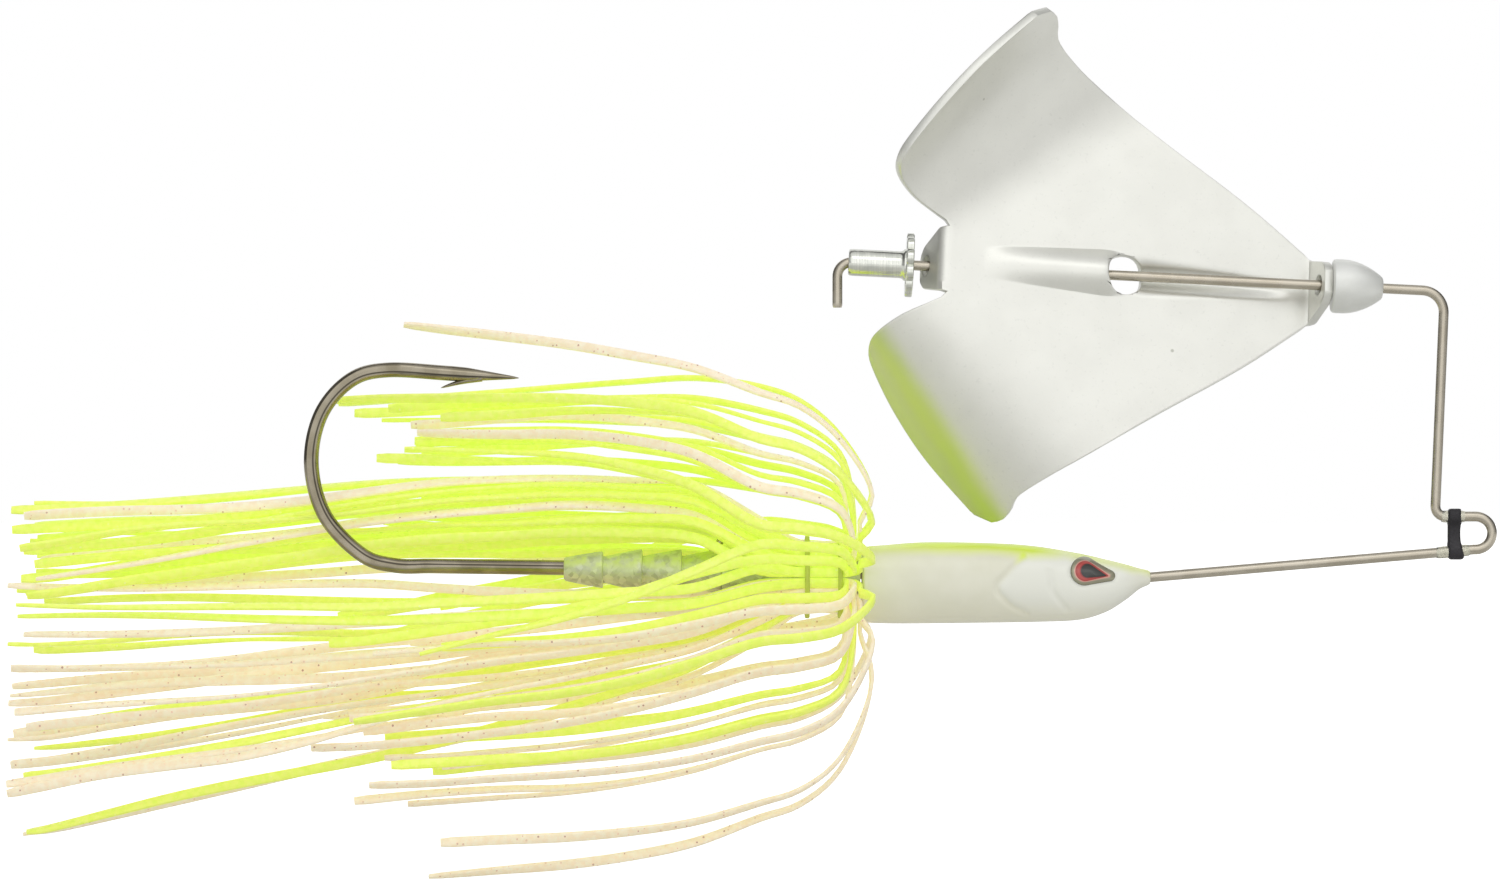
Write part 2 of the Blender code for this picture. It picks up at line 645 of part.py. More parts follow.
eye_ring = add_object(
    "hook_eye",
    mesh_from("hook_eye", lambda bm: bmesh.ops.spin(
        bm,
        geom=bmesh.ops.create_circle(
            bm, cap_ends=False, segments=10, radius=HOOK_EYE_WIRE / 2,
            matrix=Matrix.Translation((HOOK_EYE_RADIUS, 0, 0)) @ Matrix.Rotation(math.pi / 2, 4, "X"),
        )["verts"] + bm.edges[:],
        cent=(0, 0, 0), axis=(0, 0, 1), angle=math.tau, steps=20, use_merge=True, use_duplicate=False,
    )),
    collection=cutters,
)
eye_ring.location = eye_hook
barb_root = bend[-1].lerp(point, 0.07) - Vector((0, 0, hook_radius * 0.5))
barb_turn = math.radians(HOOK_BARB_ANGLE)
barb_way = (bend[-1] - point).normalized() * math.cos(barb_turn) + Vector((0, 0, -1)) * math.sin(barb_turn)
barb = add_object(
    "hook_barb",
    mesh_from("hook_barb", lambda bm: bmesh.ops.create_cone(
        bm, cap_ends=True, segments=8, radius1=HOOK_BARB_RADIUS, radius2=HOOK_TIP_RADIUS,
        depth=HOOK_BARB_LENGTH,
    )),
    collection=cutters,
)
barb.matrix_world = (
    Matrix.Translation(barb_root + barb_way * HOOK_BARB_LENGTH / 2)
    @ barb_way.to_track_quat("Z", "Y").to_matrix().to_4x4()
)
combine(hook, [eye_ring, barb], "UNION")

# ---- skirt layers, which also set the collar's size ---------------------------------------------------

layer_mid = []
floor = 0.0
for count in LAYER_COUNTS:
    seat = max(floor + STRAND_GAP, (STRAND_WIDTH / 2 + STRAND_GAP) / math.tan(math.pi / count))
    layer_mid.append(seat + STRAND_THICKNESS / 2)
    floor = math.hypot(seat + STRAND_THICKNESS, STRAND_WIDTH / 2)
collar_radius = layer_mid[0] - STRAND_THICKNESS / 2 - TOUCH_GAP
band_inner = floor + TOUCH_GAP
fold_centre = layer_mid[-1] + STRAND_THICKNESS / 2 + FOLD_CORNER
fold_x = HEAD_BACK_X - FACE_CLEARANCE - STRAND_THICKNESS / 2 - (fold_centre - layer_mid[0])

# ---- head, collar and keeper in one casting -----------------------------------------------------------


def squircle(x, centre_z, up, down, half_width, squareness):
    """An upright oval section of the casting."""
    ring = []
    for side in range(HEAD_SIDES):
        angle = math.tau * (side + 0.5) / HEAD_SIDES
        flat, tall = math.cos(angle), math.sin(angle)
        y = half_width * math.copysign(abs(flat) ** (2 / squareness), flat)
        height = (up if tall > 0 else down) * math.copysign(abs(tall) ** (2 / squareness), tall)
        ring.append(Vector((x, y, centre_z + height)))
    return ring


def round_section(x, centre_z, radius):
    return squircle(x, centre_z, radius, radius, radius, 2)


keeper_front = HEAD_BACK_X - COLLAR_LENGTH
keeper_back = keeper_front - KEEPER_BARB_LENGTH * len(KEEPER_BARB_RADII)


def keeper_axis(x):
    share = (x - keeper_front) / (keeper_back - keeper_front)
    return KEEPER_AXIS_Z[0] + (KEEPER_AXIS_Z[1] - KEEPER_AXIS_Z[0]) * share


casting = []
for step, (barb_r, neck_r) in enumerate(zip(KEEPER_BARB_RADII, KEEPER_NECK_RADII)):
    front = keeper_front - KEEPER_BARB_LENGTH * step
    back = front - KEEPER_BARB_LENGTH + (BARB_FACE if step < len(KEEPER_BARB_RADII) - 1 else 0)
    casting = [
        round_section(back, keeper_axis(back), neck_r),
        round_section(front - BARB_FACE, keeper_axis(front), barb_r),
        round_section(front, keeper_axis(front), barb_r - BARB_FACE),
    ] + casting
collar_start = keeper_front + BARB_FACE
casting.append(round_section(collar_start, SKIRT_AXIS_Z, collar_radius))
casting.append(round_section(HEAD_BACK_X, SKIRT_AXIS_Z, collar_radius))
head_lengths = np.array([station[0] for station in HEAD_STATIONS])
head_sizes = np.array([station[1:] for station in HEAD_STATIONS])


def head_section(distance):
    """Top, bottom and half width of the head, so far ahead of its rear face."""
    return [float(np.interp(distance, head_lengths, head_sizes[:, column])) for column in range(3)]


for distance, top, bottom, half in HEAD_STATIONS:
    middle = (top + bottom) / 2
    casting.append(squircle(
        HEAD_BACK_X + distance, HEAD_AXIS_Z + middle, top - middle, top - middle, half, HEAD_SQUARENESS
    ))
head = add_object("head", loft("head", casting), PEARL)

shank_way = (shank_end - eye_hook).normalized()
shank_channel = round_bar(
    "shank_channel", eye_hook, eye_hook + shank_way * (eye_hook.x - keeper_back + HOOK_DIAMETER),
    hook_radius + CAST_GAP, 16
)
eye_pocket = round_bar(
    "eye_pocket",
    eye_hook - Vector((0, 0, HOOK_EYE_WIRE / 2 + CAST_GAP)),
    eye_hook + Vector((0, 0, HOOK_EYE_WIRE / 2 + CAST_GAP)),
    HOOK_EYE_RADIUS + HOOK_EYE_WIRE / 2 + CAST_GAP,
)
nose_x = HEAD_BACK_X + HEAD_STATIONS[-1][0]
cast_in_top = cast_in + Vector((0, 0, WIRE_END_RISE + CAST_GAP))
inner_corners = [lower_arm(nose_x + WIRE_DIAMETER), cast_in, cast_in_top]
inner_path = bent_path(inner_corners, [WIRE_END_BEND])
wire_channel = tube("wire_channel", inner_path, [wire_radius + CAST_GAP] * len(inner_path), 2, None, cutters)

# ---- keeper spike ---------------------------------------------------------------------------------

spike_turn = math.radians(SPIKE_ANGLE)
spike_way = Vector((math.cos(spike_turn), 0, math.sin(spike_turn)))
spike_base = Vector((HEAD_BACK_X - SPIKE_BASE[0], 0, SPIKE_BASE[1]))
spike_radius = SPIKE_DIAMETER / 2
spike_lengths = (0.0, SPIKE_LENGTH - spike_radius, SPIKE_LENGTH - spike_radius * 0.4, SPIKE_LENGTH)
spike = tube(
    "keeper_spike",
    [spike_base + spike_way * length for length in spike_lengths],
    [spike_radius, spike_radius, spike_radius * 0.75, spike_radius * 0.3],
    2, STEEL,
)
spike_hole = round_bar(
    "spike_hole", spike_base - spike_way * CAST_GAP, spike_base + spike_way * SPIKE_LENGTH,
    spike_radius + CAST_GAP, 10,
)

# ---- eyes in their sockets ------------------------------------------------------------------------


def teardrop(side, depth, margin, scale=1.0):
    """A ring round the eye's outline, so far from the middle plane: a big arc behind, a small one ahead."""
    long_axis = EYE_LENGTH - EYE_RADIUS - EYE_TIP_RADIUS
    limit = math.acos((EYE_RADIUS - EYE_TIP_RADIUS) / long_axis)
    turn = -math.radians(EYE_TILT)
    middle = Vector(((EYE_LENGTH - 2 * EYE_RADIUS) / 2, 0))
    rear_sides = EYE_SIDES * 2 // 3
    tip_sides = EYE_SIDES - rear_sides
    arcs = [(0.0, EYE_RADIUS, angle) for angle in np.linspace(limit, math.tau - limit, rear_sides)]
    arcs += [(long_axis, EYE_TIP_RADIUS, angle) for angle in np.linspace(-limit, limit, tip_sides)]
    placed = []
    for centre, radius, angle in arcs:
        flat = Vector((centre, 0)) + Vector((math.cos(angle), math.sin(angle))) * (radius + margin)
        out = (flat - middle) * scale
        x = out.x * math.cos(turn) - out.y * math.sin(turn)
        z = out.x * math.sin(turn) + out.y * math.cos(turn)
        placed.append(Vector((
            HEAD_BACK_X + EYE_CENTRE[0] + x, side * depth, HEAD_AXIS_Z + EYE_CENTRE[1] + z
        )))
    return placed


def head_half_width(distance, height):
    """Half width of the head's skin at a height above its axis."""
    top, bottom, half = head_section(distance)
    middle = (top + bottom) / 2
    share = min(abs(height - middle) / (top - middle), 1.0)
    return half * (1 - share**HEAD_SQUARENESS) ** (1 / HEAD_SQUARENESS)


eye_skin = head_half_width(*EYE_CENTRE)
socket_floor = eye_skin - EYE_SOCKET_DEPTH
for side, name in ((1, "eye_left"), (-1, "eye_right")):
    levels = (
        (socket_floor + TOUCH_GAP, 1.0), (eye_skin, 1.0), (eye_skin + EYE_DOME * 0.6, 0.86),
        (eye_skin + EYE_DOME * 0.9, 0.6), (eye_skin + EYE_DOME, 0.3),
    )
    add_object(name, loft(name, [teardrop(side, depth, 0, scale) for depth, scale in levels]), EYE_RED)
socket_reach = (socket_floor, eye_skin + HEAD_STATIONS[0][3])
sockets = [
    add_object(
        f"socket_{side}",
        loft(f"socket_{side}", [teardrop(side, depth, TOUCH_GAP) for depth in socket_reach]),
        collection=cutters,
    )
    for side in (-1, 1)
]
combine(head, [shank_channel, eye_pocket, wire_channel, spike_hole, *sockets], "DIFFERENCE")

# ---- skirt bands ------------------------------------------------------------------------------------

front_band_x = fold_x - BAND_WIDTH
rear_band_x = fold_x - BAND_WIDTH - WAIST_LENGTH
for name, x in (("skirt_band_front", front_band_x), ("skirt_band_rear", rear_band_x - BAND_WIDTH)):
    outer = band_inner + BAND_WALL
    bevel = BAND_WALL / 3
    band = turned(
        name,
        [(band_inner, BAND_WIDTH), (outer - bevel, BAND_WIDTH), (outer, BAND_WIDTH - bevel), (outer, bevel),
         (outer - bevel, 0), (band_inner, 0)],
        BLACK,
        steps=20,
    )
    band.matrix_world = Matrix.Translation((x, 0, SKIRT_AXIS_Z)) @ Matrix.Rotation(math.pi / 2, 4, "Y")

# ---- skirt strands --------------------------------------------------------------------------------
# Every strand is one ribbon: a long tail runs back from the rear band, the waist passes through both
# bands, and the front end turns out against the head and folds back over the outside as a short tail.

rng = np.random.default_rng(SEED)
layers = np.repeat(np.arange(len(LAYER_COUNTS)), LAYER_COUNTS)
azimuths = np.concatenate([
    math.pi / 2 + (np.arange(count) + 0.5) * math.tau / count for count in LAYER_COUNTS
])
strand_count = len(layers)
planes = np.concatenate([
    FIRST_PLANES, np.arange(FIRST_PLANES[-1] + PLANE_STEP, REAR_TAIL[1] + PLANE_STEP, PLANE_STEP)
])
fixed = len(FIRST_PLANES)
fronts = slice(strand_count, 2 * strand_count)


def reach(table, back):
    return np.interp(back, REACH_BACK, table)


def fan(kind_tables, share, drift, grow, back):
    """Places of all the strands in one plane: rows of (y, height above the skirt's axis)."""
    up, up_low, down, down_low, side = (reach(table, back) for table in kind_tables)
    turn = azimuths + drift * grow
    near = np.cos(azimuths + drift) < 0.1
    above = np.sin(azimuths + drift) > np.where(near, 0.15, 0.0)
    steep = np.where(above, 1, -1) * np.sin(turn) * share
    high = np.where(near, up_low, up_low * 0.4) * (1 - steep) + up * steep
    low = np.where(near, down_low, down_low * 0.4) * (1 - steep) + down * steep
    across = side * np.cos(turn) * share
    ramp = np.clip((back - HOOK_APPROACH[0]) / (HOOK_APPROACH[1] - HOOK_APPROACH[0]), 0, 1)
    past_hook = HOOK_SIDE_ROOM + (across + side) * 0.42
    across = np.where(above, across * (1 - ramp) + past_hook * ramp, across)
    return np.stack([across, np.where(above, high, -low)], axis=1)


rear_tables = (REAR_UP, REAR_UP_LOW, REAR_DOWN, REAR_DOWN_LOW, REAR_SIDE)
front_tables = (FRONT_UP, FRONT_UP_LOW, FRONT_DOWN, FRONT_DOWN_LOW, FRONT_SIDE)
rear_share = np.array(REAR_SHARE)[layers] * rng.uniform(0.88, 1.05, strand_count)
front_share = np.array(FRONT_SHARE)[layers] * rng.uniform(0.92, 1.04, strand_count)
rear_drift = rng.uniform(-0.45, 0.45, strand_count)
front_drift = rng.uniform(-0.35, 0.35, strand_count)
wave_phase = rng.uniform(0, math.tau, (2, strand_count))
wave_size = rng.uniform(0.0001, 0.0006, (2, strand_count))
wave_length = rng.uniform(0.030, 0.060, (2, strand_count))
rear_length = rng.uniform(*REAR_TAIL, strand_count)
front_length = rng.uniform(*FRONT_TAIL, strand_count)
twists = rng.uniform(-1.0, 1.0, (2, strand_count)) * math.pi

# three strands that stand apart: one rises straight over the hook and two drop below the rest
rise = np.sin(azimuths)
outermost = np.where(layers == 0)[0]
riser_strand = outermost[np.argmax(rise[outermost])]
droopers = outermost[np.argsort(rise[outermost])[:2]]
front_share[riser_strand] = 0.9
front_share[droopers] = (1.12, 1.03)
front_length[riser_strand] = RISER_TAIL
front_length[droopers] = DROOP_TAILS

wanted = np.zeros((len(planes), 2 * strand_count, 2))
for level, back in enumerate(planes):
    grow = min(max((back - FIRST_PLANES[-1]) / 0.04, 0.0), 1.0)
    waist = np.array(layer_mid)[layers] / reach(REAR_SIDE, back) if level < 2 else rear_share
    wanted[level, :strand_count] = fan(rear_tables, waist, rear_drift, grow, back)
    wanted[level, fronts] = fan(front_tables, front_share, front_drift, grow, back)
    wave = (wave_size * grow * np.sin(wave_phase + math.tau * back / wave_length)).reshape(-1)
    wanted[level] += np.stack([wave, wave * 0.8], axis=1)
    wanted[level, strand_count + riser_strand] += (RISER_DRIFT * grow, RISER_LIFT * grow**1.25)


hook_rear = max(back for back, _ in HOOK_BEND)
hook_past = 1.5 * PLANE_STEP      # how far behind the bend the fringe still keeps to its side
hook_top = max(height for _, height in HOOK_BEND) - SKIRT_AXIS_Z
spike_top = spike_base.z + spike_way.z * SPIKE_LENGTH + STRAND_WIDTH - SKIRT_AXIS_Z


def clear_of_hardware(places):
    """Moves fringe places out of the keeper, the shank, the spike and the hook's bend."""
    for level, back in enumerate(planes[fixed:], fixed):
        spot = places[level]
        x = HEAD_BACK_X - back
        bare = x < keeper_back
        centre = np.array((0, (shank_end.z if bare else keeper_axis(x)) - SKIRT_AXIS_Z))
        room = CORE_ROOM[1] if bare else CORE_ROOM[0]
        out = spot - centre
        away = np.linalg.norm(out, axis=1, keepdims=True) + 1e-9
        spot = np.where((away < room) & (back < hook_rear + hook_past / 2), centre + out / away * room, spot)
        if abs(x - spike_base.x) < PLANE_STEP / 2:
            at_spike = (np.abs(spot[:, 0]) < SPIKE_ROOM) & (spot[:, 1] > 0) & (spot[:, 1] < spike_top)
            spot[:, 0] = np.where(at_spike, np.copysign(SPIKE_ROOM, spot[:, 0]), spot[:, 0])
        ramp = min(max((back - HOOK_APPROACH[0]) / (HOOK_APPROACH[1] - HOOK_APPROACH[0]), 0.0), 1.0)
        over_point = spot[:, 1] > hook_top + HOOK_SIDE_ROOM
        beside = back < hook_rear + hook_past
        upper = (wanted[level, :, 1] > 0) & ~over_point & (wanted[level, :, 0] > 0) & beside
        spot[:, 0] = np.where(upper, np.maximum(spot[:, 0], HOOK_SIDE_ROOM * ramp), spot[:, 0])
        under = (wanted[level, :, 1] <= 0) & (np.abs(spot[:, 0]) < HOOK_SIDE_ROOM) & beside
        spot[:, 1] = np.where(under, np.minimum(spot[:, 1], UNDER_SHANK), spot[:, 1])
        places[level] = spot


def push_apart(places):
    """How far each place has to move for no two in a plane to be closer than the strands' room."""
    gap = places[:, :, None, :] - places[:, None, :, :]
    away = np.linalg.norm(gap, axis=3)
    short = np.clip(RIBBON_ROOM - away, 0, None) / 2
    short[:, np.arange(gap.shape[1]), np.arange(gap.shape[1])] = 0
    return (gap / (away[..., None] + 1e-9) * short[..., None]).sum(axis=2)


settled = wanted.copy()
for turn in range(SETTLING_ROUNDS):
    drift = settled - wanted
    smooth = drift.copy()
    smooth[1:-1] = (drift[:-2] + 2 * drift[1:-1] + drift[2:]) / 4
    settled[fixed:] = (wanted + smooth)[fixed:]
    midway = push_apart((settled[:-1] + settled[1:]) / 2)
    nudge = push_apart(settled)
    nudge[:-1] += midway
    nudge[1:] += midway
    settled[fixed:] += nudge[fixed:] * 0.8
    clear_of_hardware(settled)


def tail_points(tail, length, first):
    """Centre line of one tail from a plane near the head out to its end."""
    backs = [back for back in planes[first:] if back < length - PLANE_STEP / 4] + [length]
    return [
        Vector((
            HEAD_BACK_X - back,
            float(np.interp(back, planes, settled[:, tail, 0])),
            SKIRT_AXIS_Z + float(np.interp(back, planes, settled[:, tail, 1])),
        ))
        for back in backs
    ]


def strand_line(strand):
    """A strand's centre line from its rear end to its front end, and the share of twist at each point."""
    layer, azimuth = layers[strand], azimuths[strand]
    outward = Vector((0, math.cos(azimuth), math.sin(azimuth)))
    middle = layer_mid[layer]
    bend = fold_centre - middle

    def at(x, radius):
        return Vector((x, 0, SKIRT_AXIS_Z)) + outward * radius

    rear = tail_points(strand, rear_length[strand], 1)[::-1]
    fold = [
        at(fold_x + bend * math.sin(angle), fold_centre - bend * math.cos(angle))
        for angle in (0, math.pi / 4, math.pi / 2)
    ]
    front = tail_points(strand_count + strand, front_length[strand], 0)
    reach_out = math.hypot(front[0].y, front[0].z - SKIRT_AXIS_Z)
    if layer < len(FOLD_BULGE):
        edge = fold_x + bend
        if layer == 0:
            fold.append(at(edge, fold_centre + FOLD_CLEAR))
        fold.append(at(edge + FOLD_BULGE[layer], fold_centre + (reach_out - fold_centre) * 0.45))
    back_twist = [twists[0, strand] * (1 - step / (len(rear) - 1)) ** 1.5 for step in range(len(rear))]
    front_twist = [twists[1, strand] * (step / (len(front) - 1)) ** 1.5 for step in range(len(front))]
    return rear + fold + front, back_twist + [0.0] * len(fold) + front_twist


def ribbon(points, twist, across):
    """Four-cornered rings along a line, their width set across it and then twisted."""
    rings = []
    for step, (place, angle) in enumerate(zip(points, twist)):
        before = points[max(step - 1, 0)]
        after = points[min(step + 1, len(points) - 1)]
        way = (place - before).normalized() + (after - place).normalized()
        way.normalize()
        wide = (across - way * across.dot(way)).normalized()
        wide = Quaternion(way, angle) @ wide
        thick = way.cross(wide)
        rings.append([
            place + wide * STRAND_WIDTH / 2 * a + thick * STRAND_THICKNESS / 2 * b
            for a, b in ((1, 1), (-1, 1), (-1, -1), (1, -1))
        ])
    return rings


for strand in range(strand_count):
    points, twist = strand_line(strand)
    tangential = Vector((0, -math.sin(azimuths[strand]), math.cos(azimuths[strand])))
    upper = rise[strand] > 0
    accent = strand % ACCENT_EVERY[0 if upper else 1] == 0 and strand not in droopers
    chartreuse = upper != (accent or strand == riser_strand)
    name = f"strand_{strand + 1:02d}"
    add_object(name, loft(name, ribbon(points, twist, tangential)), CHARTREUSE if chartreuse else CREAM)
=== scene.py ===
# %% [markdown]
# A buzzbait is a topwater lure: a bent wire carries a painted lead head with a big hook below, and
# a loose spinning blade above. The measured solids are loaded first, and every piece that follows
# is made at their place, in metres, so nothing has to be fitted afterwards.

# %% load the measured solids
import json
import math
from itertools import permutations

import bmesh
import bpy
import numpy as np
from mathutils import Matrix, Quaternion, Vector


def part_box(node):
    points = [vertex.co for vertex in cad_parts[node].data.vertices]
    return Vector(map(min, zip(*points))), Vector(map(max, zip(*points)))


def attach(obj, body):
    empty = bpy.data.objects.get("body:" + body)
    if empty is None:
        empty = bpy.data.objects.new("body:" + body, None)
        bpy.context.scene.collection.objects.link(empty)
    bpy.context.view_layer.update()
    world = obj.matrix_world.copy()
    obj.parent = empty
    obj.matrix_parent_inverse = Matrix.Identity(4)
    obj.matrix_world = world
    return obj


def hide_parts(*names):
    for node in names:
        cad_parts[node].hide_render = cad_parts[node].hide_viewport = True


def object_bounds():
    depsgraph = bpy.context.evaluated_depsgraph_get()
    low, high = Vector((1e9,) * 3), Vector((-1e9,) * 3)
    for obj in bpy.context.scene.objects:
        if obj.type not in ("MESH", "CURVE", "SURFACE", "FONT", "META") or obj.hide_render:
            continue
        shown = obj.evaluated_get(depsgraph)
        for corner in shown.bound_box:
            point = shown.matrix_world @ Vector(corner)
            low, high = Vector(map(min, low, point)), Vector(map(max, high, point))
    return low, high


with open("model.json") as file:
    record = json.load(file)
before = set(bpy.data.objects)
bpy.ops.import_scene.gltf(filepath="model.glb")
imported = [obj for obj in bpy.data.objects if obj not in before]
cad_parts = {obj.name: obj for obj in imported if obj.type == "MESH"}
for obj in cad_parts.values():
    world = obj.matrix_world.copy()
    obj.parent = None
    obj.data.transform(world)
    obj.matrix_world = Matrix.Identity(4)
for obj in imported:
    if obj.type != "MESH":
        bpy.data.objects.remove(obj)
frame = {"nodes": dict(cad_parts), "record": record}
cad_box = [[float(value) for value in corner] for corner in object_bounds()]
MM = 0.001


def in_mm(box):
    return [[round(value / MM, 1) for value in corner] for corner in box]


print("solids:", len(frame["nodes"]), "box in mm:", in_mm(cad_box))

# %% [markdown]
# The lure is seen square on from its right side, through a long lens, so hardly anything gets
# smaller with distance. A plain pale floor lies under it. The floor shows white to the camera,
# and it still takes the lure's shadow.

# %% camera
WHOLE_FRAME = 0.150               # width seen at the lure
CAMERA_AWAY = 0.600
VIEW_MIDDLE = (-0.07255, 0.0092)  # along the lure, and height
SENSOR = 36                       # mm, as Blender counts lenses


def placed(name, data):
    """An object for a mesh, a lamp or a camera, linked into the scene."""
    obj = bpy.data.objects.new(name, data)
    bpy.context.scene.collection.objects.link(obj)
    return obj


camera = placed("camera", bpy.data.cameras.new("camera"))
camera.location = (VIEW_MIDDLE[0], -CAMERA_AWAY, VIEW_MIDDLE[1])
camera.rotation_euler = (math.radians(90), 0, 0)
camera.data.sensor_width = SENSOR
camera.data.lens = SENSOR * CAMERA_AWAY / WHOLE_FRAME
camera.data.clip_start = 0.01
bpy.context.scene.camera = camera
bpy.context.scene.view_settings.view_transform = "Standard"
print("lens:", round(camera.data.lens), "mm")

# %% [markdown]
# Materials are built from nodes, so a few small helpers save a lot of typing. One puts a node in a
# tree and joins its inputs. Another starts a material and hands back its shader, and a third feeds
# that shader with what varies over the surface.

# %% node helpers
def put(tree, kind, inputs=(), **settings):
    """Adds a node. A socket given as an input is linked, and any other value is set."""
    made = tree.nodes.new(kind)
    for key, value in settings.items():
        setattr(made, key, value)
    for key, value in dict(inputs).items():
        if isinstance(value, bpy.types.NodeSocket):
            tree.links.new(value, made.inputs[key])
        else:
            made.inputs[key].default_value = value
    return made


def sums(tree, operation, first, second=0.0, third=0.0, clamp=False):
    numbers = {0: first, 1: second, 2: third}
    return put(tree, "ShaderNodeMath", numbers, operation=operation, use_clamp=clamp).outputs[0]


def times(tree, first, second):
    return sums(tree, "MULTIPLY", first, second)


def blended(tree, share, first, second):
    """A colour that goes from the first to the second as share goes from 0 to 1."""
    colours = {0: share, 6: first, 7: second}
    return put(tree, "ShaderNodeMix", colours, data_type="RGBA").outputs[2]


def rescaled(tree, value, low, high, out_low=0.0, out_high=1.0):
    """Eases from one value to the other as the input goes from low to high."""
    numbers = {0: value, 1: low, 2: high, 3: out_low, 4: out_high}
    return put(tree, "ShaderNodeMapRange", numbers, interpolation_type="SMOOTHSTEP").outputs[0]


def colour(red, green, blue):
    """A colour as seen on a screen, from 0 to 255, as the light that it reflects."""
    shares = [value / 255 for value in (red, green, blue)]
    return tuple(s / 12.92 if s <= 0.04045 else ((s + 0.055) / 1.055) ** 2.4 for s in shares) + (1.0,)


def socket_name(word):
    return word.replace("_", " ").title().replace("Ior", "IOR")


def finish(name, roughness, metallic=0.0, **sockets):
    """A material and its shader, with what is the same all over set on the shader itself."""
    material = bpy.data.materials.new(name)
    material.use_nodes = True
    shader = material.node_tree.nodes["Principled BSDF"]
    for key, value in dict(sockets, roughness=roughness, metallic=metallic).items():
        shader.inputs[socket_name(key)].default_value = value
    return material, material.node_tree, shader


def feed(tree, shader, **sockets):
    """Links what varies over the surface to the shader."""
    for key, value in sockets.items():
        tree.links.new(value, shader.inputs[socket_name(key)])


def object_place(tree):
    return tree.nodes.new("ShaderNodeTexCoord").outputs["Object"]


def attribute(tree, name):
    return put(tree, "ShaderNodeAttribute", attribute_name=name).outputs


def noise(tree, place, scale, detail, roughness=0.5):
    inputs = {"Vector": place, "Scale": scale, "Detail": detail, "Roughness": roughness}
    return put(tree, "ShaderNodeTexNoise", inputs).outputs[0]


def cells(tree, place, scale):
    """Random cells: the distance from each one's middle, and three random values for each."""
    made = put(tree, "ShaderNodeTexVoronoi", {"Vector": place, "Scale": scale}).outputs
    return made["Distance"], put(tree, "ShaderNodeSeparateColor", {0: made["Color"]}).outputs


def bumped(tree, shader, height, distance, strength):
    bump = put(tree, "ShaderNodeBump", {"Height": height, "Distance": distance, "Strength": strength})
    feed(tree, shader, normal=bump.outputs[0])


# %% [markdown]
# Three effects are shared by several finishes. Metal that has been handled has blotches of wear and
# fine lines from drawing or turning. Sprayed enamel has a faint orange peel and slightly uneven
# colour. Silicone fringe has coloured flakes stirred into it, and faint ridges from being cut. Each
# effect is a node group, so it is drawn once and only its numbers differ.

# %% node groups
def group(name, inputs, outputs):
    """An empty node group with float or vector inputs, and its two end nodes."""
    tree = bpy.data.node_groups.new(name, "ShaderNodeTree")
    for key, default in inputs.items():
        kind = "NodeSocketVector" if default is None else "NodeSocketFloat"
        socket = tree.interface.new_socket(key, in_out="INPUT", socket_type=kind)
        if default is not None:
            socket.default_value = default
    for key in outputs:
        tree.interface.new_socket(key, in_out="OUTPUT", socket_type="NodeSocketFloat")
    return tree, tree.nodes.new("NodeGroupInput").outputs, tree.nodes.new("NodeGroupOutput").inputs


def use(tree, effect, inputs):
    return put(tree, "ShaderNodeGroup", inputs, node_tree=effect).outputs


# %% handled metal
handled, given, out = group(
    "handled_metal", {"Place": None, "Lines": None, "Blotches": 700.0}, ["Wear", "Line"]
)
blotches = noise(handled, given["Place"], given["Blotches"], 4.0)
lines = noise(handled, given["Lines"], 1.0, 5.0, 0.6)
handled.links.new(rescaled(handled, blotches, 0.35, 0.7), out["Wear"])
handled.links.new(rescaled(handled, lines, 0.3, 0.7), out["Line"])


def worn(tree, lines, blotches):
    return use(tree, handled, {"Place": object_place(tree), "Lines": lines, "Blotches": blotches})


# %% sprayed enamel
sprayed, given, out = group("sprayed_enamel", {"Place": None, "Peel": 2600.0}, ["Peel", "Cloud", "Speck"])
distance, chosen = cells(sprayed, given["Place"], 210.0)
speck = times(sprayed, rescaled(sprayed, distance, 0.05, 0.02), sums(sprayed, "GREATER_THAN", chosen[0], 0.5))
sprayed.links.new(noise(sprayed, given["Place"], given["Peel"], 2.0), out["Peel"])
sprayed.links.new(rescaled(sprayed, noise(sprayed, given["Place"], 240.0, 3.0), 0.3, 0.7), out["Cloud"])
sprayed.links.new(speck, out["Speck"])


def peeled(tree, peel=2600.0):
    return use(tree, sprayed, {"Place": object_place(tree), "Peel": peel})


def clouded(name, peel, light, dark, bump, strength, roughness, metallic=0.0, rough=None, **sockets):
    """A finish of one colour, clouded between two shades, with the peel as its bump."""
    material, tree, shader = finish(name, roughness, metallic, **sockets)
    effects = peeled(tree, peel)
    feed(tree, shader, base_color=blended(tree, effects["Cloud"], colour(*light), colour(*dark)))
    if rough:
        feed(tree, shader, roughness=rescaled(tree, effects["Peel"], 0.3, 0.7, *rough))
    bumped(tree, shader, effects["Peel"], bump * MM, strength)
    return material


# %% flaked silicone
flaked, given, out = group(
    "flaked_silicone", {"Place": None, "Spread": 900.0, "Share": 0.2}, ["Flake", "Shade", "Ridge"]
)
distance, chosen = cells(flaked, given["Place"], given["Spread"])
inside = rescaled(flaked, distance, 0.28, 0.16)
picked = sums(flaked, "LESS_THAN", chosen[0], given["Share"])
depth = sums(flaked, "MULTIPLY_ADD", sums(flaked, "POWER", chosen[2], 2.0), 0.7, 0.3)
flaked.links.new(times(flaked, times(flaked, inside, picked), depth), out["Flake"])
flaked.links.new(chosen[1], out["Shade"])
flaked.links.new(noise(flaked, given["Place"], 1500.0, 3.0), out["Ridge"])
print("shared effects:", [tree.name for tree in (handled, sprayed, flaked)])

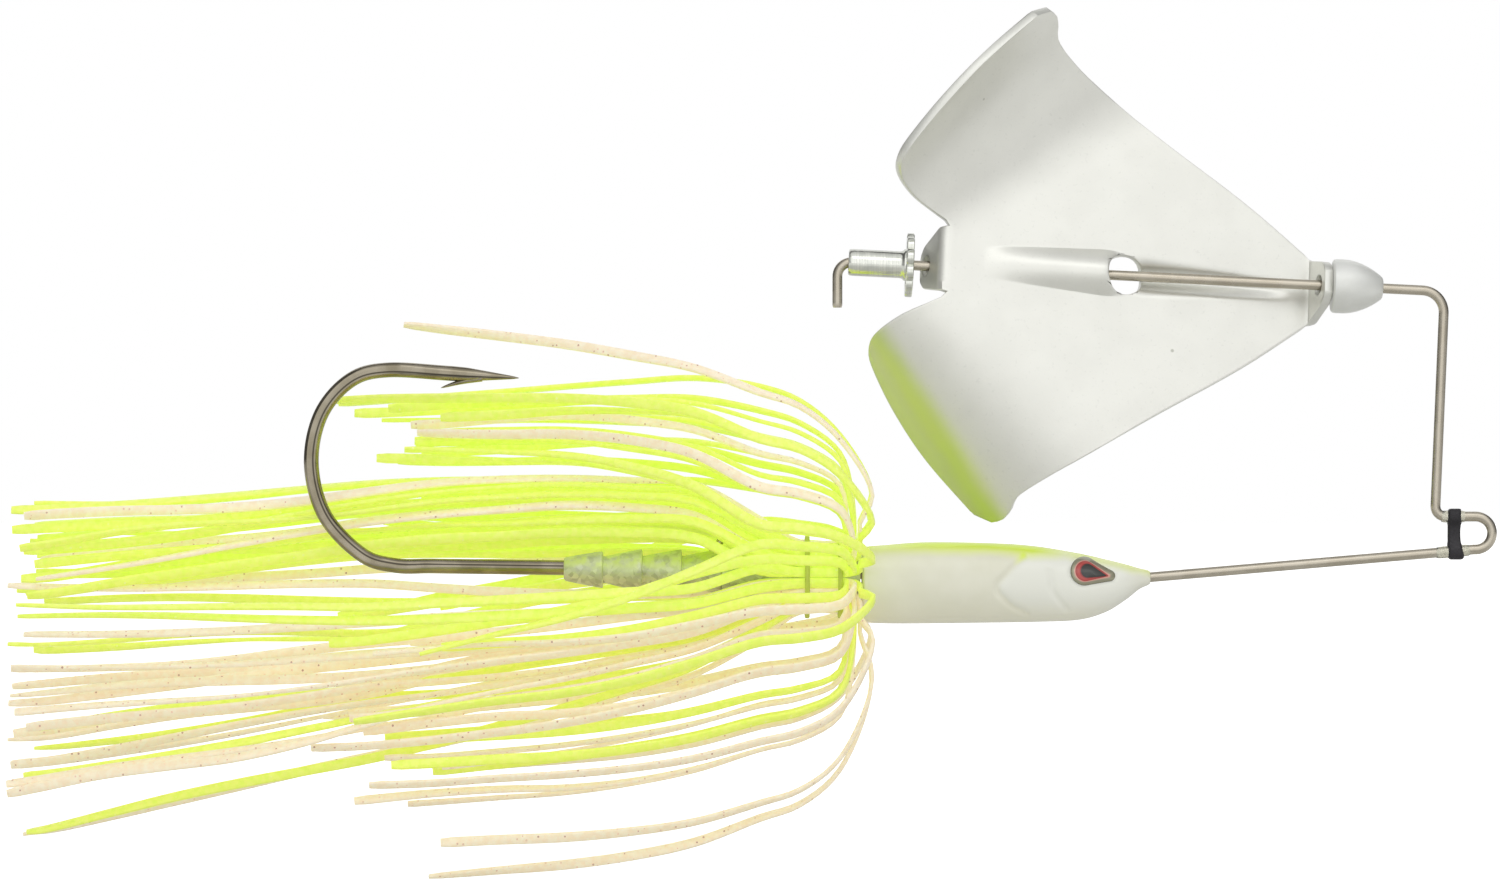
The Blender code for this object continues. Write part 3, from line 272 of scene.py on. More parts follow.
# %% [markdown]
# Wire, hook, head and strands are all long skins: a ring of points carried along a line while its
# shape changes. One helper makes them all. It starts from a circle, extrudes its edge once for
# every further ring, sets the new points in place, and closes both ends with a face.

# %% skin through rings
def skin(rings):
    """A closed skin through rings of points, each with the same count and order."""
    bm = bmesh.new()
    bmesh.ops.create_circle(bm, cap_ends=False, segments=len(rings[0]), radius=1.0)
    loop, edges = list(bm.verts), list(bm.edges)
    first, ordered = list(edges), list(loop)
    for vert, place in zip(loop, rings[0]):
        vert.co = place
    for ring in rings[1:]:
        made = bmesh.ops.extrude_edge_only(bm, edges=edges)["geom"]
        fresh = {item for item in made if isinstance(item, bmesh.types.BMVert)}
        edges = [
            item for item in made if isinstance(item, bmesh.types.BMEdge) and fresh.issuperset(item.verts)
        ]
        loop = [
            next(edge.other_vert(vert) for edge in vert.link_edges if edge.other_vert(vert) in fresh)
            for vert in loop
        ]
        ordered += loop
        for vert, place in zip(loop, ring):
            vert.co = place
    for index, vert in enumerate(ordered):
        vert.index = index
    bm.verts.sort()
    for ends in (first, edges):
        bmesh.ops.contextual_create(bm, geom=ends)
    bmesh.ops.recalc_face_normals(bm, faces=bm.faces[:])
    return bm


def mesh_of(name, bm):
    mesh = bpy.data.meshes.new(name)
    bm.to_mesh(mesh)
    bm.free()
    return mesh


def piece(name, bm, material, body, nodes=(), sharp=40):
    """Makes the object, gives it its finish, hangs it on its body's empty, and hides the solids it stands
    for.
    """
    mesh = mesh_of(name, bm)
    mesh.materials.append(material)
    mesh.shade_smooth()
    mesh.set_sharp_from_angle(angle=math.radians(sharp))
    obj = placed(name, mesh)
    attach(obj, body)
    if nodes:
        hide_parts(*nodes)
    print(f"{name}: {sum(len(face.vertices) - 2 for face in mesh.polygons)} triangles")
    return obj


def mark(obj, name, values, kind="FLOAT"):
    """Stores one value for every point, for the finish to read."""
    layer = obj.data.attributes.new(name, kind, "POINT")
    field = "vector" if kind == "FLOAT_VECTOR" else "value"
    layer.data.foreach_set(field, np.asarray(values, np.float32).ravel())


# %% lines and sections
def round_turns(count, first=0.0):
    """Angles once round, the first of them this share of a step past nothing."""
    return [math.tau * (step + first) / count for step in range(count)]


def rounds(radii):
    return [(radius, radius) for radius in radii]


def squarish(value, power):
    """A sine or cosine whose circle is made squarer, for a power below 1."""
    return math.copysign(abs(value) ** power, value)


def sweep(path, sizes, sides):
    """Rings across a line that lies in the lure's upright plane. A size is (in the plane, across it)."""
    path = [Vector(place) for place in path]
    side = Vector((0, 1, 0))
    rings = []
    for step, (place, (deep, wide)) in enumerate(zip(path, sizes)):
        before, after = path[max(step - 1, 0)], path[min(step + 1, len(path) - 1)]
        along = ((place - before).normalized() + (after - place).normalized()).normalized()
        up = side.cross(along)
        rings.append([
            place + up * deep * math.cos(turn) + side * wide * math.sin(turn) for turn in round_turns(sides)
        ])
    return rings


def run_lengths(path):
    """How far along a line each of its points is."""
    steps = np.linalg.norm(np.diff(np.array([list(place) for place in path]), axis=0), axis=1)
    return np.r_[0, np.cumsum(steps)]


def spaced(path, count):
    """count points at an even distance along a line."""
    run = run_lengths(path)
    at = np.linspace(0, run[-1], count)
    return np.stack([np.interp(at, run, path[:, axis]) for axis in range(path.shape[1])], axis=1)


def evenly(path, step):
    """The same line with points about a step apart."""
    flat = np.array([list(place) for place in path])
    count = max(int(round(run_lengths(flat)[-1] / step)), 2) + 1
    return [Vector(place) for place in spaced(flat, count)]


def smooth_curve(points, count):
    """count points, evenly spaced, on a smooth curve through the given ones."""
    given = np.array(points, float)
    ends = np.vstack([2 * given[0] - given[1], given, 2 * given[-1] - given[-2]])
    fine = [
        0.5 * (2 * b + (c - a) * t + (2 * a - 5 * b + 4 * c - d) * t**2 + (3 * b - a - 3 * c + d) * t**3)
        for a, b, c, d in zip(ends, ends[1:], ends[2:], ends[3:])
        for t in np.linspace(0, 1, 24, endpoint=False)
    ]
    return spaced(np.array(fine + [given[-1]]), count)


# %% [markdown]
# The frame is one length of spring steel wire, a millimetre thick, bent cold over pins. That is
# why every corner is an arc and every run between is straight. A curve object with a bevel would
# do, but the skin keeps its points in order, so the fine drawing lines can follow the wire.

# %% wire line
WIRE = 1.0 * MM
SHAFT_CENTRE = Vector((-0.03515, 0, 0.02573))
SHAFT_SLOPE = math.radians(2.81)
TAIL_GAP, TAIL_DROP, TAIL_BEND = 1.1 * MM, 4.6 * MM, 1.4 * MM
BEAD_LONG = 5.1                   # mm
BEAD_ROOM = 4.0 * MM              # clear wire between the bead and the bend
RISER_BEND, TIE_BEND, CAST_BEND = 2.2 * MM, 1.0 * MM, 1.0 * MM
TIE_BACK = -4.05 * MM
BIGHT = 1.65 * MM                 # radius of the line tie's bight
ARM_SLOPE = math.radians(4.87)
CAST_IN = 2.5 * MM                # the wire's end, turned up in the lead
HEAD_BACK = -0.06125
HOOK_EYE = Vector((HEAD_BACK + 0.0177, 0, -0.0041))
WIRE_SIDES = 24
shaft_axis = Vector((math.cos(SHAFT_SLOPE), 0, -math.sin(SHAFT_SLOPE)))
shaft_up = Vector((math.sin(SHAFT_SLOPE), 0, math.cos(SHAFT_SLOPE)))
shaft_side = shaft_up.cross(shaft_axis)


def on_shaft(distance, side=0.0, up=0.0):
    return SHAFT_CENTRE + shaft_axis * distance + shaft_side * side + shaft_up * up


def back_on_shaft(node):
    """Where along the shaft a solid starts, from the rear."""
    return min((vert.co - SHAFT_CENTRE).dot(shaft_axis) for vert in frame["nodes"][node].data.vertices)


def lower_arm(x):
    return Vector((x, 0, -BIGHT / math.cos(ARM_SLOPE) + math.tan(ARM_SLOPE) * x))


def bent_path(corners, radii, steps=20):
    """Straight runs whose corners are rounded to the given radii."""
    path = [Vector(corners[0])]
    for before, corner, after, radius in zip(corners, corners[1:], corners[2:], radii):
        back, ahead = (Vector(before) - corner).normalized(), (Vector(after) - corner).normalized()
        half = back.angle(ahead) / 2
        centre = corner + (back + ahead).normalized() * radius / math.sin(half)
        start = corner + back * radius / math.tan(half) - centre
        stop = corner + ahead * radius / math.tan(half) - centre
        whole = start.angle(stop)
        for step in range(steps + 1):
            path.append(centre + Quaternion(start.cross(stop), whole * step / steps) @ start)
    return path + [Vector(corners[-1])]


rivet_back, bead_back = (back_on_shaft(node) for node in ("star_rivet", "bullet_bead"))
tail_corner = on_shaft(rivet_back - TAIL_GAP)
riser_corner = on_shaft(bead_back + BEAD_LONG * MM + BEAD_ROOM + RISER_BEND)
upper_run = bent_path(
    [tail_corner - Vector((0, 0, TAIL_DROP)), tail_corner, riser_corner, Vector((TIE_BACK, 0, BIGHT)),
     Vector((0, 0, BIGHT))],
    [TAIL_BEND, RISER_BEND, TIE_BEND],
)
bight = [
    Vector((BIGHT * math.cos(turn), 0, BIGHT * math.sin(turn)))
    for turn in np.linspace(math.radians(90), math.radians(-90) - ARM_SLOPE, 48)
]
cast_in = lower_arm(HOOK_EYE.x)
lower_run = bent_path([bight[-1], cast_in, cast_in + Vector((0, 0, CAST_IN))], [CAST_BEND])
wire_line = evenly(upper_run[:-1] + bight + lower_run[1:], 0.25 * MM)
print("wire length:", round(run_lengths(wire_line)[-1] / MM, 1), "mm")

# %% wire
steel, tree, shader = finish("drawn_steel", 0.3, 1.0)
effects = worn(tree, attribute(tree, "grain")["Vector"], 500.0)
tone = blended(tree, effects["Wear"], colour(190, 182, 166), colour(202, 195, 180))
tone = blended(tree, times(tree, effects["Line"], 0.35), tone, colour(158, 150, 134))
feed(tree, shader, base_color=tone, roughness=rescaled(tree, effects["Wear"], 0, 1, 0.24, 0.32))
bumped(tree, shader, effects["Line"], 0.005 * MM, 0.4)


def mark_grain(obj, line, sides, along=60, across=1.6):
    """Lets the finish follow a swept piece: how far along it each point is, and where round it."""
    run = run_lengths(line)
    turns = np.arange(sides) * math.tau / sides
    grid = np.stack(np.broadcast_arrays(
        run[:, None] * along, across * np.cos(turns)[None, :], across * np.sin(turns)[None, :]
    ), axis=-1)
    mark(obj, "grain", grid, "FLOAT_VECTOR")


wire_radii = [WIRE / 2] * len(wire_line)
wire_radii[0] = wire_radii[-1] = WIRE * 0.42
bm = skin(sweep(wire_line, rounds(wire_radii), WIRE_SIDES))
wire = piece("wire_frame", bm, steel, "frame", ["wire_arm"])
mark_grain(wire, wire_line, WIRE_SIDES)

# %% [markdown]
# The hook is forged: the round wire is bent, then its bend is struck flat on both sides, which
# makes it stiffer. The point is ground to a cone, and the barb is a sliver of the same wire
# raised with a chisel. The plating is black nickel, dark and glossy with a warm cast. A dark
# stripe along one side of the wire is painted shade, for the crease that the forging die leaves
# along the inside of the bend.

# %% hook line
HOOK = 1.5                        # mm, the wire's diameter
HOOK_BEND = (
    (43.30, -3.30), (46.80, -3.25), (50.15, -2.15), (53.80, 1.72), (55.17, 6.90),
    (54.20, 11.85), (51.30, 15.25), (47.60, 16.30), (41.10, 15.95),
)                                 # mm behind the head's rear face, and height
HOOK_TIP = (34.4, 15.5)
HOOK_SIDES, HOOK_EYE_RADIUS = 32, 1.35
STRUCK = 0.84                     # width of the struck bend, as a share of its height
bend = [Vector((HEAD_BACK - back * MM, 0, up * MM)) for back, up in smooth_curve(HOOK_BEND, 90)]
hook_tip = Vector((HEAD_BACK - HOOK_TIP[0] * MM, 0, HOOK_TIP[1] * MM))
shank_way = (bend[0] - HOOK_EYE).normalized()
shank = [HOOK_EYE + shank_way * HOOK_EYE_RADIUS * MM, HOOK_EYE + shank_way * 2.6 * MM]
hook_line = evenly(shank + bend + [hook_tip], 0.45 * MM)
hook_run = run_lengths(hook_line)
bend_start = (bend[0] - shank[0]).length
bend_end = hook_run[-1] - (hook_tip - bend[-1]).length
grinding = [0, 0.9 * MM, bend_end, bend_end + 1.5 * MM, hook_run[-1] - 0.6 * MM, hook_run[-1]]
hook_radii = np.interp(hook_run, grinding, [0.5, HOOK / 2, HOOK / 2, 0.70, 0.16, 0.03]) * MM
striking = [bend_start - 2 * MM, bend_start + 6 * MM, bend_end - 6 * MM, bend_end + 1 * MM]
hook_flats = np.interp(hook_run, striking, [1.0, STRUCK, STRUCK, 1.0])
print("hook length along the wire:", round(hook_run[-1] / MM, 1), "mm")


def forged(rings):
    """Presses the two sides flat: what stands out past the flat is pushed back to it."""
    for ring, radius, share in zip(rings, hook_radii, hook_flats):
        limit = radius * share
        for place in ring:
            place.y = max(-limit, min(limit, place.y))
    return rings


# %% hook
nickel, tree, shader = finish("black_nickel_plate", 0.2, 1.0)
grain = attribute(tree, "grain")["Vector"]
effects = worn(tree, grain, 420.0)
tone = blended(tree, effects["Wear"], colour(140, 132, 112), colour(168, 160, 142))
tone = blended(tree, times(tree, effects["Line"], 0.3), tone, colour(88, 82, 70))
# painted shade: a dark stripe at one turn round the wire, all along the hook and barb, standing in for the
# shade in the forging die's crease
inward = put(tree, "ShaderNodeSeparateXYZ", {0: grain}).outputs[1]
from_painted_crease_shade = sums(tree, "ABSOLUTE", sums(tree, "SUBTRACT", inward, 0.32))
tone = blended(tree, rescaled(tree, from_painted_crease_shade, 0.20, 0.06, 0.0, 0.8), tone, colour(44, 40, 34))
feed(tree, shader, base_color=tone, roughness=rescaled(tree, effects["Wear"], 0, 1, 0.10, 0.20))
bumped(tree, shader, effects["Line"], 0.008 * MM, 0.5)
bm = skin(forged(sweep(hook_line, rounds(hook_radii), HOOK_SIDES)))
hook = piece("forged_hook", bm, nickel, "frame", ["hook"], sharp=28)
mark_grain(hook, hook_line, HOOK_SIDES, 40, 1.2)

# %% barb
BARB_AT, BARB_LONG, BARB_BOW = 0.38, 3.85, 0.10    # share of the spear, then mm
BARB_TURN = math.radians(17.5)
BARB_SIDES = BARB_STEPS = 16
barb_root = bend[-1].lerp(hook_tip, BARB_AT) - Vector((0, 0, HOOK * MM * 0.24))
back_way = (bend[-1] - hook_tip).normalized()
barb_way = back_way * math.cos(BARB_TURN) + Vector((0, 0, -1)) * math.sin(BARB_TURN)
barb_line = [
    barb_root + barb_way * share * BARB_LONG * MM
    + Vector((0, 0, BARB_BOW * MM)) * math.sin(math.pi * share)
    for share in np.linspace(-0.12, 1, BARB_STEPS)
]
barb_sizes = [
    ((0.34 * (1 - share) ** 0.55 + 0.02) * MM, (0.40 * (1 - share) ** 0.6 + 0.06) * MM)
    for share in np.linspace(0, 1, BARB_STEPS)
]
bm = skin(sweep(barb_line, barb_sizes, BARB_SIDES))
barb = piece("hook_barb", bm, nickel, "frame", sharp=50)
mark_grain(barb, barb_line, BARB_SIDES, 40, 1.2)

# %% eye of the hook
def once_round(bm, centre, axis, steps=72):
    """Spins what the mesh holds once round an axis, and closes it."""
    bmesh.ops.spin(
        bm, geom=bm.verts[:] + bm.edges[:], cent=centre, axis=axis, angle=math.tau, steps=steps,
        use_merge=True, use_duplicate=False,
    )
    bmesh.ops.remove_doubles(bm, verts=bm.verts[:], dist=1e-7)
    bmesh.ops.recalc_face_normals(bm, faces=bm.faces[:])
    return bm


bm = bmesh.new()
upright = Matrix.Translation((HOOK_EYE_RADIUS * MM, 0, 0)) @ Matrix.Rotation(math.pi / 2, 4, "X")
bmesh.ops.create_circle(bm, cap_ends=False, segments=16, radius=0.5 * MM, matrix=upright)
once_round(bm, (0, 0, 0), (0, 0, 1), 48)
bmesh.ops.translate(bm, vec=HOOK_EYE, verts=bm.verts[:])
piece("hook_eye", bm, nickel, "frame")

# %% [markdown]
# The head is lead, cast round the hook's eye and the wire's end in a two-part mould, then dipped in
# pearl enamel and sprayed chartreuse along the back. Its sections are ovals with slightly square
# shoulders. The gill lines are shallow grooves from the mould, so they are real dents in the mesh.

# %% head shape
AXIS_Z = -5.15 * MM
STATIONS = (
    (-0.12, 3.35, -3.36, 2.90), (0.0, 3.66, -3.67, 3.18), (0.25, 3.79, -3.79, 3.30),
    (2.2, 3.97, -3.90, 3.45), (6.4, 4.25, -3.90, 3.60), (12.9, 4.15, -3.82, 3.60),
    (17.2, 3.85, -3.75, 3.50), (21.5, 3.15, -3.55, 3.10), (24.2, 2.55, -2.80, 2.55),
    (26.2, 2.05, -1.60, 1.95), (27.6, 1.65, -0.50, 1.25), (28.45, 1.45, -0.10, 0.84),
    (28.7, 1.28, 0.08, 0.66),
)                                 # mm ahead of the rear face, top and bottom above the axis, half width
SQUARE = 2.3
HEAD_SIDES = 112
shape = smooth_curve(STATIONS, 190)


def half_width(ahead, up):
    """Half width of the head in mm, at a height above its axis."""
    top, bottom, half = (float(np.interp(ahead, shape[:, 0], shape[:, column])) for column in (1, 2, 3))
    share = min(abs(up - (top + bottom) / 2) / ((top - bottom) / 2), 0.999)
    return half * (1 - share**SQUARE) ** (1 / SQUARE)


# %% gills and eye sockets
GILLS = (
    ((15.9, 2.85), (14.4, 1.3), (13.3, 0.05), (13.35, -0.75), (13.7, -1.05), (14.6, -1.9), (16.3, -2.85)),
    ((18.5, 1.35), (18.75, 0.4), (18.7, -0.25), (19.1, -1.1), (20.2, -2.35)),
)                                 # mm ahead of the rear face, and above the axis
GILL_DEPTHS, GILL_HALF = (0.22, 0.16), 0.34
EYE_REAR, EYE_FRONT = Vector((22.02, 1.40)), Vector((24.55, 0.93))
EYE_RADII = (1.43, 0.55)
SOCKET_DEPTH, SOCKET_HALF = 0.13, 0.20
FLANK = 1.2                       # mm off the middle, where a dent has its whole depth
smooth_gills = [smooth_curve(line, 30) for line in GILLS]


def from_straight(points, start, way):
    """Distance of each point from a straight line, in mm, and the share of it where that is least."""
    share = np.clip(((points - start) @ way) / (way @ way), 0, 1)
    return np.linalg.norm(points - start - share[:, None] * way, axis=1), share


def from_line(points, line):
    """Least distance of each point from a broken line, in mm."""
    parts = [from_straight(points, start, stop - start)[0] for start, stop in zip(line, line[1:])]
    return np.min(parts, axis=0)


def from_eye(points):
    """Distance of each point from the eye's outline, in mm, less than nothing inside."""
    near, share = from_straight(points, np.array(EYE_REAR), np.array(EYE_FRONT - EYE_REAR))
    return near - (EYE_RADII[0] + (EYE_RADII[1] - EYE_RADII[0]) * share)


rings = [
    [Vector((
        HEAD_BACK + ahead * MM, half * MM * squarish(math.cos(turn), 2 / SQUARE),
        AXIS_Z + ((top + bottom) / 2 + (top - bottom) / 2 * squarish(math.sin(turn), 2 / SQUARE)) * MM,
    )) for turn in round_turns(HEAD_SIDES, 0.5)]
    for ahead, top, bottom, half in shape
]
bm = skin(rings)
for vert in bm.verts:
    here = np.array([[(vert.co.x - HEAD_BACK) / MM, (vert.co.z - AXIS_Z) / MM]])
    dent = sum(
        depth * math.exp(-(from_line(here, line)[0] / GILL_HALF) ** 2)
        for depth, line in zip(GILL_DEPTHS, smooth_gills)
    )
    dent += SOCKET_DEPTH * math.exp(-(max(from_eye(here)[0], 0.0) / SOCKET_HALF) ** 2)
    dent *= min(abs(vert.co.y) / (FLANK * MM), 1.0)
    vert.co.y -= math.copysign(dent * MM, vert.co.y)
bmesh.ops.recalc_face_normals(bm, faces=bm.faces[:])

# %% head paint
FADE = ((0.0, 2.95), (12.6, 2.85), (16.8, 2.35), (20.0, 2.55), (24.0, 1.85), (26.6, 1.05), (28.7, 0.75))
enamel, tree, shader = finish("pearl_enamel", 0.32, coat_weight=0.45, coat_roughness=0.12)
effects = peeled(tree)
pearl = blended(tree, effects["Cloud"], colour(233, 232, 211), colour(239, 238, 220))
pearl = blended(tree, attribute(tree, "cheek")["Fac"], pearl, colour(243, 244, 233))
# painted light: the underside is made paler than the pearl, standing in for light from below
pearl = blended(tree, attribute(tree, "low")["Fac"], pearl, colour(244, 242, 222))
uneven = times(tree, sums(tree, "SUBTRACT", effects["Cloud"], 0.5), 0.16)
ragged = sums(tree, "ADD", attribute(tree, "spray")["Fac"], uneven)
lime = blended(tree, rescaled(tree, ragged, 0.4, 1.2), colour(238, 252, 110), colour(224, 249, 46))
feed(tree, shader, base_color=blended(tree, rescaled(tree, ragged, -0.25, 1.25), pearl, lime))
bumped(tree, shader, effects["Peel"], 0.012 * MM, 0.35)
head = piece("painted_head", bm, enamel, "frame", ["head"], sharp=60)

# %% where the spray reaches
found = np.zeros(len(head.data.vertices) * 3)
head.data.vertices.foreach_get("co", found)
found = found.reshape(-1, 3)
flank = np.stack([(found[:, 0] - HEAD_BACK) / MM, (found[:, 2] - AXIS_Z) / MM], axis=1)
ahead, up = flank[:, 0], flank[:, 1]
above = up - np.interp(ahead, *zip(*FADE))
below_eye = np.clip(1 - np.abs(from_eye(flank) - 0.12) / 0.35, 0, 1) * (up < 0.9)
gill_mist = np.clip(1 - from_line(flank, smooth_gills[0][:12]) / 0.5, 0, 1)
gill_mist += 0.4 * np.clip(1 - from_line(flank, smooth_gills[1]) / 0.4, 0, 1)
mark(head, "spray", above / 1.1 + 0.5 * below_eye + 0.6 * gill_mist + 0.05)
# how far down the underside a point is, for the painted light that makes it paler
mark(head, "low", np.clip((-up - 1.2) / 2.4, 0, 1) ** 1.3)
gill_at = np.interp(-up, -smooth_gills[0][:, 1], smooth_gills[0][:, 0])
mark(head, "cheek", np.clip((ahead - gill_at) / 0.5, 0, 1) * np.clip((30.0 - ahead) / 4.0, 0, 1))

# %% [markdown]
# Behind the head the same casting goes on as a collar for the fringe and as a keeper, a row of
# round barbs that grip a soft trailer. The dip stops at the head, so this is bare lead: dull, a
# little crystalline, with a painted chartreuse reflection on its top.

# %% barbed keeper
KEEPER_FRONT, PITCH = 14.2, 3.93
BARBS = ((2.25, 1.50), (2.15, 1.45), (2.10, 1.35), (1.83, 1.20))    # mm, radius of each lip and its neck
COLLAR_Z, COLLAR = -4.4, 1.95
KEEPER_Z, KEEPER_RISE = -3.85, 0.25
KEEPER_SIDES = 48
profile = [(0.3, COLLAR, COLLAR_Z), (KEEPER_FRONT - 0.15, COLLAR, COLLAR_Z)]
for step, (lip, neck) in enumerate(BARBS):
    start = KEEPER_FRONT + PITCH * step
    for back, radius in (
        (0.0, lip - 0.16), (0.03, lip - 0.05), (0.12, lip), (0.30, lip - 0.02),
        (PITCH * 0.35, lip * 0.68 + neck * 0.32), (PITCH * 0.7, lip * 0.3 + neck * 0.7),
        (PITCH - 0.25, neck), (PITCH - 0.03, neck + 0.02),
    ):
        height = KEEPER_Z + (start + back - KEEPER_FRONT) / (PITCH * len(BARBS)) * KEEPER_RISE
        profile.append((start + back, radius, height))
profile[-1] = (profile[-1][0], BARBS[-1][1] - 0.14, profile[-1][2])
rings = [
    [Vector((HEAD_BACK - back * MM, radius * MM * math.cos(turn), (middle + radius * math.sin(turn)) * MM))
     for turn in round_turns(KEEPER_SIDES)]
    for back, radius, middle in profile
]
print("keeper reaches back to", round(KEEPER_FRONT + PITCH * len(BARBS), 1), "mm behind the head")

# %% bare lead
lead, tree, shader = finish("bare_lead", 0.45, 0.75)
_, shades = cells(tree, object_place(tree), 1900.0)
effects = worn(tree, object_place(tree), 650.0)
tone = blended(tree, shades[0], colour(182, 184, 174), colour(222, 224, 212))
tone = blended(tree, times(tree, effects["Wear"], 0.3), tone, colour(136, 138, 130))
# painted reflection: chartreuse on the up-facing side, patchy with the wear, stands in for chartreuse
# reflected onto the top of the lead
normal = tree.nodes.new("ShaderNodeNewGeometry").outputs["Normal"]
upward = rescaled(tree, put(tree, "ShaderNodeSeparateXYZ", {0: normal}).outputs[2], -0.5, 0.7)
lime_and_painted_light = times(tree, upward, rescaled(tree, effects["Wear"], 0.9, 0.1, 0.35, 0.9))
feed(
    tree, shader, base_color=blended(tree, lime_and_painted_light, tone, colour(212, 232, 110)),
    metallic=rescaled(tree, lime_and_painted_light, 0, 1, 0.6, 0.1), roughness=rescaled(tree, shades[1], 0, 1, 0.3, 0.55),
)
bumped(tree, shader, shades[2], 0.02 * MM, 0.35)
piece("barbed_keeper", skin(rings), lead, "frame", ["head"])

# %% keeper spike
SPIKE_SLOPE = math.radians(54.6)
SPIKE = (
    (0, 0.375), (0.8, 0.375), (1.6, 0.375), (2.2, 0.375),
    (2.42, 0.35), (2.58, 0.27), (2.68, 0.13), (2.70, 0.04),
)                                 # mm along the pin, and its radius
SPIKE_SIDES = 24
spike_way = Vector((math.cos(SPIKE_SLOPE), 0, math.sin(SPIKE_SLOPE)))
spike_foot = Vector((HEAD_BACK - 15.5 * MM, 0, -2.55 * MM))
spike_line = [spike_foot + spike_way * along * MM for along, radius in SPIKE]
bm = skin(sweep(spike_line, rounds([radius * MM for along, radius in SPIKE]), SPIKE_SIDES))
spike = piece("spike", bm, steel, "frame", ["keeper_spike"])
mark_grain(spike, spike_line, SPIKE_SIDES)

# %% [markdown]
# Each eye is a moulded teardrop with a printed back: a silver rim, a red ring and a dark pupil
# drawn to a point. It is set in a shallow socket and domed with clear lacquer. The zones are
# carried as one number from the rim inwards, so the finish can colour each with a crisp edge.

# %% eye outline
ROUND_THE_REAR = 0.6              # share of the outline's points on its rear circle


def teardrop(rear, front, radii, count=64):
    """Points round two circles and the straight sides that join them, in mm ahead and up."""
    way = front - rear
    lean = math.atan2(way.y, way.x)
    half = math.acos(max(min((radii[0] - radii[1]) / way.length, 1), -1))
    rear_count = int(count * ROUND_THE_REAR)
    turns = [(rear, radii[0], turn) for turn in np.linspace(half, math.tau - half, rear_count)]
    turns += [(front, radii[1], turn) for turn in np.linspace(-half, half, count - rear_count)]
    return [
        centre + Vector((math.cos(turn + lean), math.sin(turn + lean))) * radius
        for centre, radius, turn in turns
    ]


# %% printed eye
LAST_ZONE = 3.0
PRINT = (
    (0.0, (96, 98, 84)), (0.08, (112, 114, 98)), (0.14, (168, 166, 138)), (0.31, (176, 172, 148)),
    (0.335, (232, 176, 158)), (0.39, (236, 168, 152)), (0.42, (178, 44, 42)), (0.56, (205, 66, 60)),
    (0.635, (150, 26, 30)), (0.665, (14, 6, 8)), (0.78, (26, 28, 27)), (1.0, (38, 41, 38)),
)                                 # share of the way in, and colour
eye_print, tree, shader = finish("printed_eye", 0.3, coat_weight=0.6, coat_roughness=0.06)
effects = peeled(tree, 9000.0)
zone = attribute(tree, "zone")["Fac"]
ramp = put(tree, "ShaderNodeValToRGB", {0: sums(tree, "DIVIDE", zone, LAST_ZONE)})
while len(ramp.color_ramp.elements) < len(PRINT):
    ramp.color_ramp.elements.new(0.5)
for element, (where, shade) in zip(ramp.color_ramp.elements, PRINT):
    element.position = where
    element.color = colour(*shade)
uneven = times(tree, effects["Cloud"], 0.22)
rim = sums(tree, "COMPARE", zone, 0.6, 0.42)
feed(
    tree, shader, base_color=blended(tree, uneven, ramp.outputs[0], colour(60, 60, 52)),
    metallic=rescaled(tree, rim, 0, 1, 0.0, 0.55),
)
bumped(tree, shader, effects["Peel"], 0.004 * MM, 0.3)

# %% eyes
EYE_LEVELS = (
    ((0.0, 0.0), (0.0, 0.0), EYE_RADII, -0.45, 0.0), ((0.0, 0.0), (0.0, 0.0), EYE_RADII, -0.10, 0.0),
    ((0.0, 0.0), (0.0, 0.0), (1.39, 0.51), 0.02, 0.25), ((0.0, 0.0), (0.0, 0.0), (1.33, 0.45), 0.08, 0.6),
    ((0.02, 0.0), (-0.15, 0.0), (1.06, 0.16), 0.15, 1.0),
    ((0.05, 0.0), (-0.30, 0.02), (0.99, 0.08), 0.17, 1.25),
    ((0.30, 0.04), (-0.42, 0.02), (0.66, 0.04), 0.22, 2.0),
    ((0.38, 0.02), (-0.9, 0.05), (0.42, 0.02), 0.27, 2.6),
    ((0.5, -0.02), (-1.5, 0.05), (0.16, 0.01), 0.30, LAST_ZONE),
)                                 # mm: shift of the rear and front centre, radii, height, then the zone
for side, name in ((1, "eye_left"), (-1, "eye_right")):
    rings, zones = [], []
    for rear_shift, front_shift, radii, height, zone_value in EYE_LEVELS:
        outline = teardrop(EYE_REAR + Vector(rear_shift), EYE_FRONT + Vector(front_shift), radii)
        rings.append([
            Vector((HEAD_BACK + at.x * MM, side * (half_width(at.x, at.y) + height) * MM, AXIS_Z + at.y * MM))
            for at in outline
        ])
        zones += [zone_value] * len(outline)
    eye = piece("moulded_" + name, skin(rings), eye_print, "frame", [name], sharp=70)
    mark(eye, "zone", zones)


# %% [markdown]
# A short black band ties the two legs of the line tie together, so a knot can't slide down the
# wire. It is shrunk on: it pulls in between the legs, flares over the lower one, and a little
# clear glue creeps out along the wire at each side.

